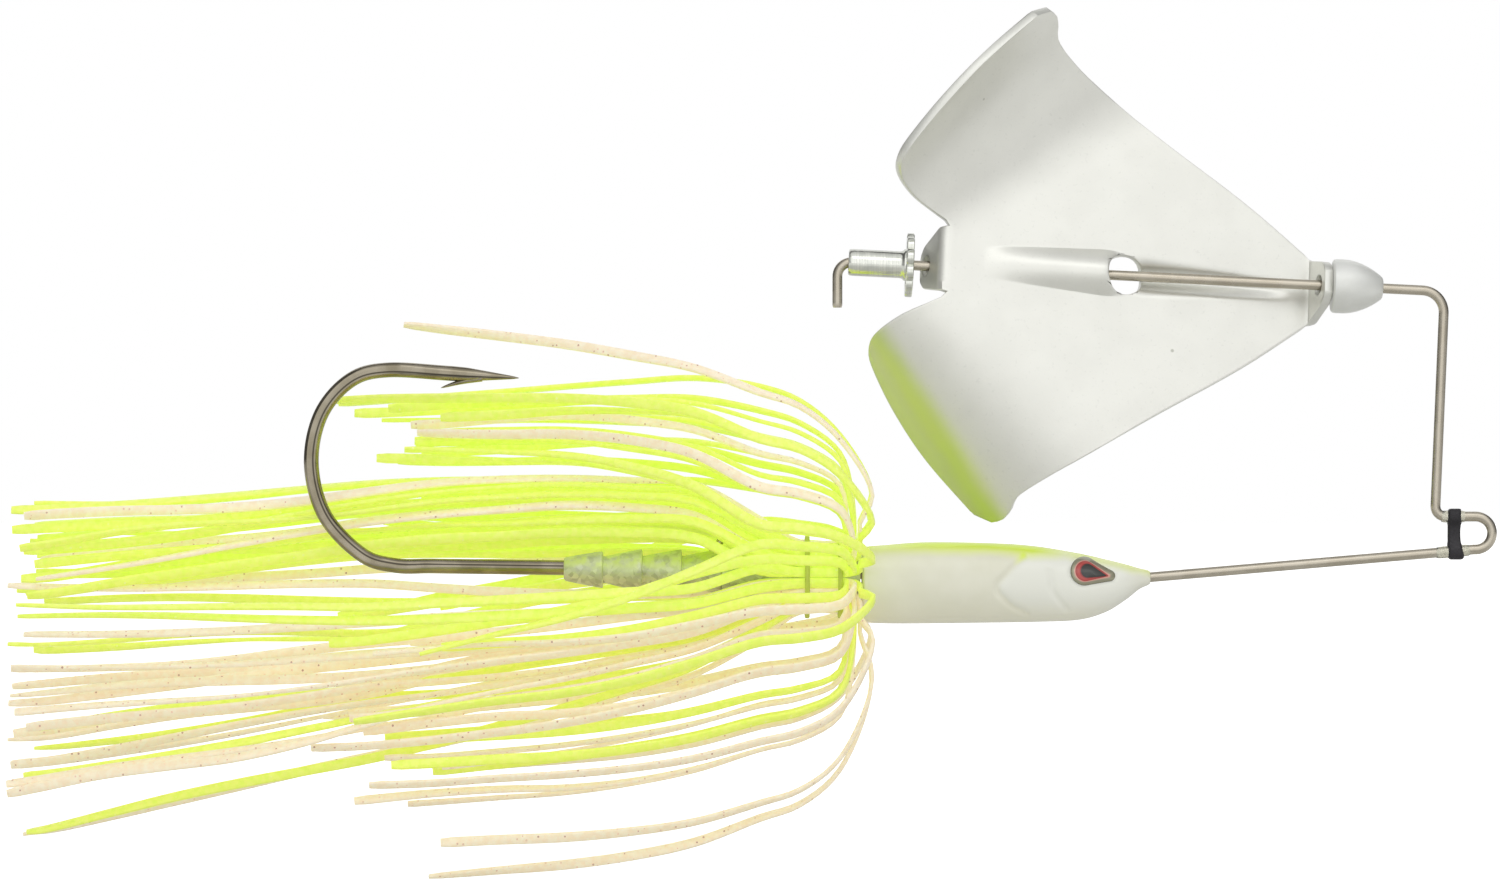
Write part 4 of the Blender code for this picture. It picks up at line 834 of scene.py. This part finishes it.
# %% band on the line tie
BAND_LEVELS = (
    (-2.66, -1.98, 0.50, 0.32), (-2.60, -1.96, 0.66, 0.52), (-2.42, -1.95, 0.78, 0.68),
    (-2.15, -1.98, 0.79, 0.78), (-1.80, -2.02, 0.76, 0.82), (-1.45, -2.08, 0.73, 0.78),
    (-1.15, -2.12, 0.72, 0.62), (-0.85, -2.14, 0.66, 0.50), (-0.40, -2.16, 0.645, 0.44),
    (0.20, -2.16, 0.64, 0.43), (0.70, -2.14, 0.66, 0.47), (1.00, -2.12, 0.70, 0.60),
    (1.30, -2.14, 0.69, 0.76), (1.65, -2.15, 0.68, 0.80), (2.00, -2.14, 0.67, 0.76),
    (2.26, -2.10, 0.64, 0.62), (2.40, -2.06, 0.56, 0.42), (2.44, -2.04, 0.40, 0.24),
)                                 # mm: height, middle ahead, half length, half width
LONG_SIDE, SHORT_SIDE = 0.32, 0.7
rubber = clouded(
    "black_shrink_rubber", 5200.0, (30, 28, 32), (44, 42, 46), 0.02, 0.5, 0.42, rough=(0.34, 0.58),
    specular_ior_level=0.4,
)
rings = [
    [Vector((
        (middle + long * squarish(math.cos(turn), LONG_SIDE)) * MM,
        wide * MM * squarish(math.sin(turn), SHORT_SIDE), height * MM,
    )) for turn in round_turns(48)]
    for height, middle, long, wide in smooth_curve(BAND_LEVELS, 60)
]
piece("line_tie_band", skin(rings), rubber, "frame", ["line_tie_sleeve"], sharp=60)

# %% glue
GLUE_AT = (0, 0.04, 0.10, 0.25, 0.5, 0.75, 0.9, 0.96, 1)
GLUE_RADII = (0.555, 0.585, 0.61, 0.62, 0.61, 0.585, 0.555)    # mm, between the two ends
glue = clouded(
    "clear_glue", 4000.0, (238, 242, 240), (226, 232, 226), 0.02, 0.4, 0.08, ior=1.45,
    transmission_weight=0.9,
)
for name, back, front, end in (
    ("glue_upper", Vector((-3.40, 0, 1.65)), Vector((-1.10, 0, 1.65)), 0.55),
    ("glue_lower", lower_arm(-3.95 * MM) / MM, lower_arm(-0.60 * MM) / MM, 0.50),
):
    line = [back.lerp(front, share) * MM for share in GLUE_AT]
    sizes = rounds([radius * MM for radius in (end, *GLUE_RADII, end)])
    piece(name, skin(sweep(line, sizes, 32)), glue, "frame")

# %% [markdown]
# The blade is stamped from one aluminium sheet. Its two wings are cupped to opposite sides so the
# water turns it, two ears are folded up for the shaft, and a channel is pressed for the wire. The
# flat pattern is a grid. Each of its points is rolled and folded to where the press puts it, then
# Solidify gives the thickness and Booleans punch the holes. Each point keeps its flat place.

# %% blade pattern
THICK = 0.9 * MM
TILT, BLADE_TURN = math.radians(10), math.radians(-13)
CUP_AXIS, CUP_START, CUP_RADIUS, CUP_TAPER = math.radians(35), 11.8 * MM, 15.0 * MM, 0.31
FRONT_FOLD, REAR_FOLD = 18.95 * MM, -18.1 * MM
LEADING = (
    (18.95, 3.5), (12.3, 8.5), (4.0, 13.9), (-2.4, 18.2), (-6.5, 20.9), (-9.5, 23.3), (-10.3, 25.0),
    (-11.0, 26.1), (-12.2, 26.75),
)
TRAILING = (
    (-18.1, 3.7), (-19.9, 4.6), (-22.6, 6.1), (-24.9, 8.2), (-25.6, 10.2), (-25.2, 12.4), (-23.0, 17.0),
    (-19.6, 21.6), (-14.2, 26.4),
)                                 # mm ahead of the centre hole, and out from it
EAR_ROOT, EAR_TIP, EAR_BEND, EAR_MARGIN, EAR_HOLE = 6.8 * MM, 3.9 * MM, 0.5 * MM, 2.1 * MM, 2.0 * MM
FRONT_LEAN, REAR_LEAN = math.radians(3), math.radians(9)
CENTRE_HOLE, CHANNEL_DEEP, CHANNEL_HALF = 4.0 * MM, 1.55 * MM, 2.25 * MM
CHANNEL_RUNS, CHANNEL_NARROWS = (12.2 * MM, 15.0 * MM), (0.28, 0.45)    # behind the centre hole, and ahead
WING_ROWS, EAR_ROWS, COLUMNS, EAR_COLUMNS = 56, 40, 84, 20
wing_front, wing_rear = (
    smooth_curve([(u * MM, v * MM) for u, v in edge], WING_ROWS + 1) for edge in (LEADING, TRAILING)
)
cup_along = Vector((math.cos(CUP_AXIS), math.sin(CUP_AXIS)))
cup_out = Vector((-math.sin(CUP_AXIS), math.cos(CUP_AXIS)))


def cupped(flat_at):
    """A point of the upper wing after the cup is rolled: along, outward and height."""
    past = flat_at.dot(cup_out) - CUP_START
    if past <= 0:
        return flat_at.x, flat_at.y, 0.0
    radius = CUP_RADIUS + CUP_TAPER * flat_at.dot(cup_along)
    bent = flat_at + cup_out * (radius * math.sin(past / radius) - past)
    return bent.x, bent.y, radius * (1 - math.cos(past / radius))


def channel(u, v):
    """Height of the pressed channel, to one side behind the centre hole and to the other ahead."""
    end = 0 if u < 0 else 1
    share = min(max((abs(u) - CENTRE_HOLE / 2) / CHANNEL_RUNS[end], 0.0), 1.0)
    half = CHANNEL_HALF * (1 - CHANNEL_NARROWS[end] * share)
    if abs(v) >= half:
        return 0.0
    # behind the hole the section is round with crisp sides, and ahead it is soft
    section = (1 - (v / half) ** 2) ** 1.25 if u < 0 else math.cos(math.pi * v / (2 * half)) ** 2
    side = min(max(-u / (CENTRE_HOLE / 2), -1.0), 1.0)
    return side * CHANNEL_DEEP * (1 - share) ** 0.8 * section


# %% ears and press
def ear(share, edge_v, fold, lean, facing):
    """A point of an ear: share runs from the fold to the ear's end."""
    turn = math.radians(90) - lean
    reach = abs(fold) * math.tan(TILT) + EAR_MARGIN
    run = share * (reach - EAR_BEND * (1 - math.sin(lean)) + EAR_BEND * turn)
    angle = min(run, EAR_BEND * turn) / EAR_BEND
    rest = max(run - EAR_BEND * turn, 0.0)
    width = 1 + (EAR_TIP / EAR_ROOT - 1) * share
    corner = 1 - 0.45 * (max(share - 0.75, 0) / 0.25) ** 2.2
    u = EAR_BEND * math.sin(angle) + rest * math.cos(turn)
    n = EAR_BEND * (1 - math.cos(angle)) + rest * math.sin(turn)
    return fold + math.copysign(u, fold), edge_v * width * corner, facing * n


def pressed(row, column):
    """Where the press puts a point of the grid: along the sheet, across it, and off it."""
    sign, level = (-1 if row < 0 else 1), abs(row)
    if level <= EAR_ROWS // 2:
        v = EAR_ROOT / 2 * level / (EAR_ROWS // 2)
        front, rear = Vector((FRONT_FOLD, v)), Vector((REAR_FOLD, v))
    else:
        front, rear = (Vector(edge[level - EAR_ROWS // 2]) for edge in (wing_front, wing_rear))
    if column < 0:
        u, v, n = ear(-column / EAR_COLUMNS, rear.y, REAR_FOLD, REAR_LEAN, -1)
        return (u, sign * v, n), (REAR_FOLD, sign * rear.y)
    if column > COLUMNS:
        u, v, n = ear((column - COLUMNS) / EAR_COLUMNS, front.y, FRONT_FOLD, FRONT_LEAN, 1)
        return (u, sign * v, n), (FRONT_FOLD, sign * front.y)
    flat_at = rear.lerp(front, column / COLUMNS)
    u, v, n = cupped(flat_at)
    return (u, sign * v, sign * n + channel(u, sign * v)), (flat_at.x, sign * flat_at.y)


# %% blade sheet
rows, columns = 2 * (WING_ROWS + EAR_ROWS // 2), COLUMNS + 2 * EAR_COLUMNS
bm = bmesh.new()
bmesh.ops.create_grid(bm, x_segments=columns, y_segments=rows, size=1.0)
pattern = bm.verts.layers.float_vector.new("pattern")
grid = {
    vert: (
        round((vert.co.y + 1) / 2 * rows) - rows // 2, round((vert.co.x + 1) / 2 * columns) - EAR_COLUMNS
    ) for vert in bm.verts
}
waste = [
    face for face in bm.faces
    if abs(sum(grid[v][0] for v in face.verts)) / 4 > EAR_ROWS / 2
    and not 0 < sum(grid[v][1] for v in face.verts) / 4 < COLUMNS
]
bmesh.ops.delete(bm, geom=waste, context="FACES")
for vert in bm.verts:
    (u, v, n), flat_at = pressed(*grid[vert])
    side = n * math.cos(TILT) - u * math.sin(TILT)
    along = u * math.cos(TILT) + n * math.sin(TILT)
    # the sheet's own side faces the near side of the lure
    turned = Quaternion((0, 0, 1), BLADE_TURN) @ Vector((-side, v, along))
    vert.co = on_shaft(turned.z, turned.x, turned.y)
    vert[pattern] = (flat_at[0] / MM, flat_at[1] / MM, 0)
bm.normal_update()
if sum(face.normal.y * face.calc_area() for face in bm.faces) > 0:
    bmesh.ops.reverse_faces(bm, faces=bm.faces[:])
sheet = placed("sheet", mesh_of("sheet", bm))
NEAR_WALL, FAR_WALL, EDGE_WALL = range(3)
walls = [bpy.data.materials.new(name) for name in ("near_wall", "far_wall", "edge_wall")]
for wall in walls:
    sheet.data.materials.append(wall)


# %% thickness and holes
def punch(name, start, stop, radius, sides):
    """A cylinder between two points, for a Boolean to cut with."""
    cutter = bmesh.new()
    way = stop - start
    bmesh.ops.create_cone(
        cutter, cap_ends=True, segments=sides, radius1=radius, radius2=radius, depth=way.length
    )
    turn = way.to_track_quat("Z", "Y").to_matrix().to_4x4()
    bmesh.ops.transform(cutter, matrix=Matrix.Translation((start + stop) / 2) @ turn, verts=cutter.verts[:])
    mesh = mesh_of(name, cutter)
    mesh.materials.append(walls[EDGE_WALL])
    return placed(name, mesh)


solid = sheet.modifiers.new("thickness", "SOLIDIFY")
solid.thickness, solid.offset, solid.use_even_offset = THICK, 0, True
solid.material_offset, solid.material_offset_rim = FAR_WALL, EDGE_WALL
across = (Quaternion((0, 0, 1), BLADE_TURN) @ Vector((-math.cos(TILT), 0, math.sin(TILT)))) * 4 * MM
front_side, rear_side = on_shaft(across.z, across.x, across.y), on_shaft(-across.z, -across.x, -across.y)
punches = [
    punch("ear_punch", on_shaft(-36 * MM), on_shaft(36 * MM), EAR_HOLE / 2, 40),
    punch("centre_punch", rear_side, front_side, CENTRE_HOLE / 2, 64),
]
for cutter in punches:
    hole = sheet.modifiers.new(cutter.name, "BOOLEAN")
    hole.operation, hole.object = "DIFFERENCE", cutter
bpy.context.view_layer.update()
cut = bpy.data.meshes.new_from_object(sheet.evaluated_get(bpy.context.evaluated_depsgraph_get()))
for helper in (sheet, *punches):
    bpy.data.objects.remove(helper, do_unlink=True)
print("blade sheet:", len(cut.polygons), "faces")

# %% blade edges
EDGE_ROUNDING = 0.12 * MM
bm = bmesh.new()
bm.from_mesh(cut)
wall_of = bm.faces.layers.int.new("wall")
for face in bm.faces:
    face[wall_of] = face.material_index
    face.material_index = 0
rim = [
    edge for edge in bm.edges
    if edge.is_manifold and edge.calc_face_angle() > math.radians(40)
    and {face[wall_of] for face in edge.link_faces} in ({NEAR_WALL, EDGE_WALL}, {FAR_WALL, EDGE_WALL})
]
bmesh.ops.bevel(
    bm, geom=rim, offset=EDGE_ROUNDING, affect="EDGES", segments=2, profile=0.5, material=-1
)

# %% where the blade is sprayed
CREST, CREST_SLOPE = 15.1, 0.355  # mm past the cup's start, where the spray is strongest
UNSPRAYED = -20.0
pattern = bm.verts.layers.float_vector["pattern"]
crest = bm.loops.layers.float.new("crest")
bare = bm.loops.layers.float.new("cut_edge")
for face in bm.faces:
    wall = face[wall_of]
    for corner in face.loops:
        u, v, _ = corner.vert[pattern]
        outer = (wall == NEAR_WALL and v < 0) or (wall == FAR_WALL and v > 0)
        flat_at = Vector((u, abs(v)))
        past, along = flat_at.dot(cup_out) - CUP_START / MM, flat_at.dot(cup_along)
        corner[crest] = past - (CREST + CREST_SLOPE * along) if outer else UNSPRAYED
        corner[bare] = 1.0 if wall == EDGE_WALL else 0.0

# %% blade paint
gloss, tree, shader = finish("blade_enamel", 0.35, 0.65, coat_weight=0.15, coat_roughness=0.15)
effects = peeled(tree, 3000.0)
white = blended(tree, effects["Cloud"], colour(229, 229, 222), colour(233, 233, 226))
pits = rescaled(tree, effects["Peel"], 0.60, 0.75, 0.0, 0.25)
white = blended(tree, pits, white, colour(206, 207, 200))
over = sums(tree, "ADD", attribute(tree, "crest")["Fac"], times(tree, effects["Cloud"], 0.35))
# the chartreuse spray is strongest at the crest; past it the tone falls to a darker grey, which is painted
# shade where the cup curls away from the light
lime_and_painted_light = sums(tree, "MULTIPLY_ADD", rescaled(tree, over, 0.2, 2.2), -0.2, rescaled(tree, over, -2.8, -0.1))
lime = blended(tree, rescaled(tree, over, 0.0, 1.8), colour(204, 216, 152), colour(198, 204, 184))
painted = blended(tree, lime_and_painted_light, white, lime)
painted = blended(tree, times(tree, effects["Speck"], 0.5), painted, colour(120, 120, 100))
edge = times(tree, attribute(tree, "cut_edge")["Fac"], 0.35)
feed(tree, shader, base_color=blended(tree, edge, painted, colour(205, 206, 200)))
bumped(tree, shader, effects["Peel"], 0.015 * MM, 0.5)
piece("stamped_blade", bm, gloss, "blade", ["buzz_blade"], sharp=35)

# %% [markdown]
# The bead ahead of the blade and the rivet behind it are both turned about the shaft, so each is a
# profile spun once round. The bead is a plastic bullet that keeps the blade off the bend. The
# rivet is polished aluminium, and the teeth of its star click on the blade's ear as it turns.

# %% bead
def spun(points, centre, axis):
    """A closed body from a closed outline, spun once round."""
    bm = bmesh.new()
    corners = [bm.verts.new(place) for place in points]
    for first, second in zip(corners, corners[1:] + corners[:1]):
        bm.edges.new((first, second))
    return once_round(bm, centre, axis)


def on_shaft_spun(profile, start):
    """The same about the shaft, from (radius, distance from the start) in mm."""
    points = [on_shaft(start + along * MM, 0, radius * MM) for radius, along in profile]
    return spun(points, SHAFT_CENTRE, shaft_axis)


BORE, NOSE, NOSE_SWELL = 0.6, 0.95, 1.75
bullet = clouded(
    "pearl_grey_plastic", 3800.0, (224, 225, 220), (236, 237, 233), 0.01, 0.4, 0.38, 0.3, (0.32, 0.46)
)
nose = [
    (NOSE + NOSE_SWELL * math.cos(share * math.pi / 2) ** 0.8, BEAD_LONG * (0.2 + 0.8 * share))
    for share in np.linspace(0.97, 0.0, 28)
]
profile = [
    (BORE, BEAD_LONG - 0.05), (0.75, BEAD_LONG), (NOSE, BEAD_LONG - 0.03), *nose, (2.70, 0.35),
    (2.66, 0.16), (2.52, 0.03), (2.38, 0.0), (BORE + 0.1, 0.0), (BORE, 0.1),
]
piece("bead", on_shaft_spun(profile, bead_back), bullet, "bead", ["bullet_bead"], sharp=35)

# %% rivet
polished, tree, shader = finish("polished_aluminium", 0.16, 1.0)
turning = put(tree, "ShaderNodeMapping", {0: object_place(tree), 3: (9000, 300, 300)}).outputs[0]
effects = worn(tree, turning, 900.0)
tone = blended(tree, effects["Wear"], colour(220, 222, 214), colour(236, 237, 229))
tone = blended(tree, times(tree, effects["Line"], 0.3), tone, colour(172, 174, 164))
feed(tree, shader, base_color=tone, roughness=rescaled(tree, effects["Wear"], 0, 1, 0.10, 0.24))
bumped(tree, shader, effects["Line"], 0.006 * MM, 0.5)
BARREL = 1.35
profile = [
    (BORE, 5.80), (1.60, 5.80), (1.60, 5.64), (1.54, 5.52), (1.44, 5.44), (1.38, 5.32), (BARREL, 5.1),
    (BARREL, 2.6), (BARREL, 0.5), (1.33, 0.18), (1.24, 0.04), (1.10, 0.0), (0.70, 0.0), (BORE, 0.10),
]
bm = on_shaft_spun(profile, rivet_back)
piece("rivet_barrel", bm, polished, "rivet", ["star_rivet"], sharp=30)

# %% star of the rivet
TEETH, STAR, TOOTH = 10, 3.2, 0.42
STAR_LEVELS = (
    (5.74, 1.9), (5.74, 0.14), (5.80, 0.03), (5.88, 0.0), (6.36, 0.0), (6.44, 0.03), (6.50, 0.14),
    (6.50, 2.35),
)                                 # mm along the rivet, and in from the star's outline
rings = []
for along, shrink in STAR_LEVELS:
    ring = []
    for turn in round_turns(TEETH * 12):
        scallop = abs(math.sin(turn * TEETH / 2)) ** 0.8
        toothed = max(STAR - TOOTH * (1 - scallop) - shrink, BORE)
        radius = (toothed if shrink < 1 else STAR - shrink) * MM
        ring.append(on_shaft(rivet_back + along * MM, radius * math.cos(turn), radius * math.sin(turn)))
    rings.append(ring)
piece("rivet_star", skin(rings), polished, "rivet", ["star_rivet"], sharp=30)

# %% [markdown]
# The fringe is a bundle of cut silicone ribbons, held on the collar by two thin rubber rings. The
# rings are stretched tight, so they sit in the bundle and hardly show. Their olive is painted
# paler than their own, as painted light, so they don't look dark in the bundle's shade.

# %% fringe bands
BAND_SECTION = ((0.3, -1), (0.12, -1), (0.03, -0.7), (0, 0), (0.03, 0.7), (0.12, 1), (0.3, 1))
# painted light: the rings' olive is made paler than their own, so they don't show dark in the shade inside
# the bundle
olive_band = clouded("thin_olive_rubber", 5200.0, (192, 204, 90), (206, 218, 104), 0.02, 0.4, 0.5)
for name in ("skirt_band_front", "skirt_band_rear"):
    low_corner, high_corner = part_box(name)
    middle = (low_corner + high_corner) / 2
    outer, half = (high_corner.y - low_corner.y) / 2, (high_corner.x - low_corner.x) / 2
    points = [middle + Vector((half * share, 0, outer - depth * MM)) for depth, share in BAND_SECTION]
    bm = spun(points, middle, (1, 0, 0))
    piece(name + "_ring", bm, olive_band, "frame", [name], sharp=60)

# %% [markdown]
# Each ribbon runs along the line of its solid. That line is read back from the solid as a row of
# four-cornered rings, made smooth, and given a softer section and closer rings. Silicone lets
# some light in, and both colours have flakes: red-brown in the cream, pale in the chartreuse.

# %% silicone
def silicone(name, light, dark, speck, spread, share, glow, painted_glow):
    """A finish for the ribbons. Spread and share say how close and how many the flakes are. The last argument
    sets the emission, a painted glow.
    """
    # the emission is painted light: a glow that stands in for the chartreuse pigment's fluorescence, and that
    # only makes the cream paler
    material, tree, shader = finish(
        name, 0.34, ior=1.41, subsurface_weight=0.2, subsurface_scale=0.0008, subsurface_radius=glow,
        emission_color=colour(*light), emission_strength=painted_glow,
    )
    effects = use(tree, flaked, {"Place": object_place(tree), "Spread": spread, "Share": share})
    body = blended(tree, rescaled(tree, effects["Ridge"], 0.3, 0.7), colour(*dark), colour(*light))
    feed(
        tree, shader, base_color=blended(tree, times(tree, effects["Flake"], 0.8), body, colour(*speck)),
        roughness=rescaled(tree, effects["Shade"], 0, 1, 0.26, 0.46),
    )
    bumped(tree, shader, effects["Ridge"], 0.03 * MM, 0.5)
    return material


finishes = {
    "chartreuse_silicone": silicone(
        "chartreuse_silicone_fringe", (238, 253, 128), (226, 246, 98), (248, 255, 190), 2000.0, 0.14,
        (0.8, 1.0, 0.2), 0.20,
    ),
    "cream_silicone": silicone(
        "cream_silicone_fringe", (250, 237, 212), (242, 225, 194), (128, 62, 40), 1900.0, 0.36,
        (1.0, 0.8, 0.5), 0.18,
    ),
}


# %% ribbons read back
def solid_rings(node):
    """The four-cornered rings of a ribbon's solid, from end to end, as an array (rings, 4, 3)."""
    bm = bmesh.new()
    bm.from_mesh(frame["nodes"][node].data)
    bmesh.ops.remove_doubles(bm, verts=bm.verts[:], dist=1e-6)
    for edge in bm.edges:
        # an end is closed by two triangles, and the edge between them is flat
        corners = {vert for face in edge.link_faces for vert in face.verts}
        if len(corners) != 4 or edge.calc_face_angle() > 0.01:
            continue
        levels, seen = [corners], set(corners)
        while True:
            ahead = {side.other_vert(vert) for vert in levels[-1] for side in vert.link_edges} - seen
            if not ahead:
                break
            levels.append(ahead)
            seen |= ahead
        if any(len(level) != 4 for level in levels):
            continue
        tips = sorted(corners - set(edge.verts), key=lambda vert: vert.co[:])
        ring = [edge.verts[0], tips[0], edge.verts[1], tips[1]]
        found = [np.array([list(vert.co) for vert in ring])]
        for level in levels[1:]:
            # each ring is put in the order that lies nearest to the ring before it
            here = np.array([list(vert.co) for vert in level])
            last = found[-1] - found[-1].mean(0)
            best = min(
                (list(order) for order in permutations(range(4))),
                key=lambda order: ((here[order] - here.mean(0) - last) ** 2).sum(),
            )
            found.append(here[best])
        bm.free()
        return np.array(found)
    raise ValueError(node)


def through(values, knots, at):
    """A smooth curve through the values, read at the given places along it."""
    steps = np.diff(knots)[:, None]
    slopes = np.diff(values, axis=0) / steps
    inner = (slopes[:-1] * steps[1:] + slopes[1:] * steps[:-1]) / (steps[:-1] + steps[1:])
    tangents = np.vstack([slopes[:1], inner, slopes[-1:]])
    cell = np.clip(np.searchsorted(knots, at, side="right") - 1, 0, len(knots) - 2)
    width = (knots[cell + 1] - knots[cell])[:, None]
    t = ((at - knots[cell])[:, None]) / width
    return (
        (2 * t**3 - 3 * t**2 + 1) * values[cell] + (t**3 - 2 * t**2 + t) * width * tangents[cell]
        + (3 * t**2 - 2 * t**3) * values[cell + 1] + (t**3 - t**2) * width * tangents[cell + 1]
    )


# %% ribbons
ROUNDED = (
    (0.78, 1.0), (-0.78, 1.0), (-1.0, 0.5), (-1.0, -0.5),
    (-0.78, -1.0), (0.78, -1.0), (1.0, -0.5), (1.0, 0.5),
)                                 # the section: shares of the half width and the half thickness
RING_STEP = 1.2 * MM
CUT_END = 0.82                    # the first and last ring, drawn in by the cut


def ribbon_rings(coarse):
    """Closer rings with a rounded section, along the line of a solid's rings."""
    middles = coarse.mean(axis=1)
    sides = np.linalg.norm(coarse[0, 1] - coarse[0, 0]), np.linalg.norm(coarse[0, 2] - coarse[0, 1])
    square = coarse[:, [0, 1, 2, 3] if sides[0] > sides[1] else [1, 2, 3, 0]]
    wide = (square[:, 0] + square[:, 3] - square[:, 1] - square[:, 2]) / 4
    thick = (square[:, 0] + square[:, 1] - square[:, 2] - square[:, 3]) / 4
    gaps = np.linalg.norm(np.diff(middles, axis=0), axis=1)
    knots = np.r_[0, np.cumsum(np.sqrt(gaps))]
    at = np.concatenate([
        np.linspace(a, b, max(int(math.ceil(gap / RING_STEP)), 2), endpoint=False)
        for a, b, gap in zip(knots, knots[1:], gaps)
    ] + [knots[-1:]])
    line, wide, thick = (through(values, knots, at) for values in (middles, wide, thick))
    wide /= np.linalg.norm(wide, axis=1, keepdims=True)
    thick -= wide * (thick * wide).sum(axis=1, keepdims=True)
    thick /= np.linalg.norm(thick, axis=1, keepdims=True)
    half_wide, half_thick = max(sides) / 2, min(sides) / 2
    rings = []
    for step, middle in enumerate(line):
        squeeze = CUT_END if step in (0, len(line) - 1) else 1.0
        rings.append([
            Vector(middle + (wide[step] * half_wide * a + thick[step] * half_thick * b) * squeeze)
            for a, b in ROUNDED
        ])
    return rings


slots = {row["node"]: row["material_slot"] for row in frame["record"]["subparts"]}
strands = sorted(name for name in frame["nodes"] if name.startswith("strand_"))
for node in strands:
    bm, slot = skin(ribbon_rings(solid_rings(node))), slots[node]
    piece("ribbon_" + node[-2:], bm, finishes[slot], "frame", [node], sharp=50)
print("ribbons:", len(strands))

# %% [markdown]
# The light is plain and soft: a broad lamp on the camera's side, two weaker ones above and behind,
# and a pale surround. The camera sees the floor and the surround as white. For a reflection the
# surround is paler ahead than to the sides and behind, as white card round a studio table is, and
# the floor is bright further out, so bare metal and the cupped wings have something to mirror.

# %% floor
MIDDLE = Vector((-0.07, 0, 0.005))
FLOOR_HALF, FLOOR_BELOW = 3.0, 0.006
WHITE = (1, 1, 1, 1)


def ray_kinds(tree):
    """What a ray is, and 1 where the camera looks straight or through the glue."""
    path = tree.nodes.new("ShaderNodeLightPath").outputs
    return path, sums(tree, "MAXIMUM", path["Is Camera Ray"], path["Is Transmission Ray"])


bm = bmesh.new()
bmesh.ops.create_grid(bm, x_segments=1, y_segments=1, size=FLOOR_HALF)
bmesh.ops.translate(bm, vec=(0, 0, cad_box[0][2] - FLOOR_BELOW), verts=bm.verts[:])
floor = placed("floor", mesh_of("floor", bm))
pale, tree, shader = finish("pale_floor", 0.9, base_color=colour(216, 216, 214), emission_color=WHITE)
path, direct = ray_kinds(tree)
from_lure = {0: object_place(tree), 1: (MIDDLE.x, 0, 0)}
away = put(tree, "ShaderNodeVectorMath", from_lure, operation="DISTANCE").outputs["Value"]
lit = rescaled(tree, away, 0.10, 0.35, 0.62, 1.0)
sheen = times(tree, path["Is Glossy Ray"], rescaled(tree, away, 0.09, 0.22, 0.0, 0.28))
feed(tree, shader, emission_strength=sums(tree, "MULTIPLY_ADD", direct, lit, sheen))
floor.data.materials.append(pale)

# %% surround
world = bpy.data.worlds.new("surround")
bpy.context.scene.world = world
world.use_nodes = True
tree = world.node_tree
background = tree.nodes["Background"]
background.inputs["Color"].default_value = WHITE
path, direct = ray_kinds(tree)
way = tree.nodes.new("ShaderNodeTexCoord").outputs["Generated"]
ahead = put(tree, "ShaderNodeSeparateXYZ", {0: way}).outputs[1]
mirrored = rescaled(tree, ahead, 0.1, -0.65, 0.15, 0.56)
plain = rescaled(tree, direct, 0, 1, 0.52, 1.0)
glossy = sums(tree, "SUBTRACT", path["Is Glossy Ray"], path["Is Transmission Ray"], clamp=True)
level = put(tree, "ShaderNodeMix", {0: glossy, 2: plain, 3: mirrored}, data_type="FLOAT").outputs[0]
tree.links.new(level, background.inputs["Strength"])

# %% lamps
for name, place, size, power in (
    ("key_lamp", (0.05, -0.20, 0.58), 0.8, 1.0), ("front_lamp", (-0.02, -0.70, 0.28), 1.0, 2.15),
    ("rear_lamp", (-0.10, 0.60, 0.35), 0.8, 1.5),
):
    lamp = placed(name, bpy.data.lights.new(name, "AREA"))
    lamp.data.size = size
    lamp.data.energy = power
    lamp.location = place
    lamp.rotation_euler = (MIDDLE - Vector(place)).to_track_quat("-Z", "Y").to_euler()
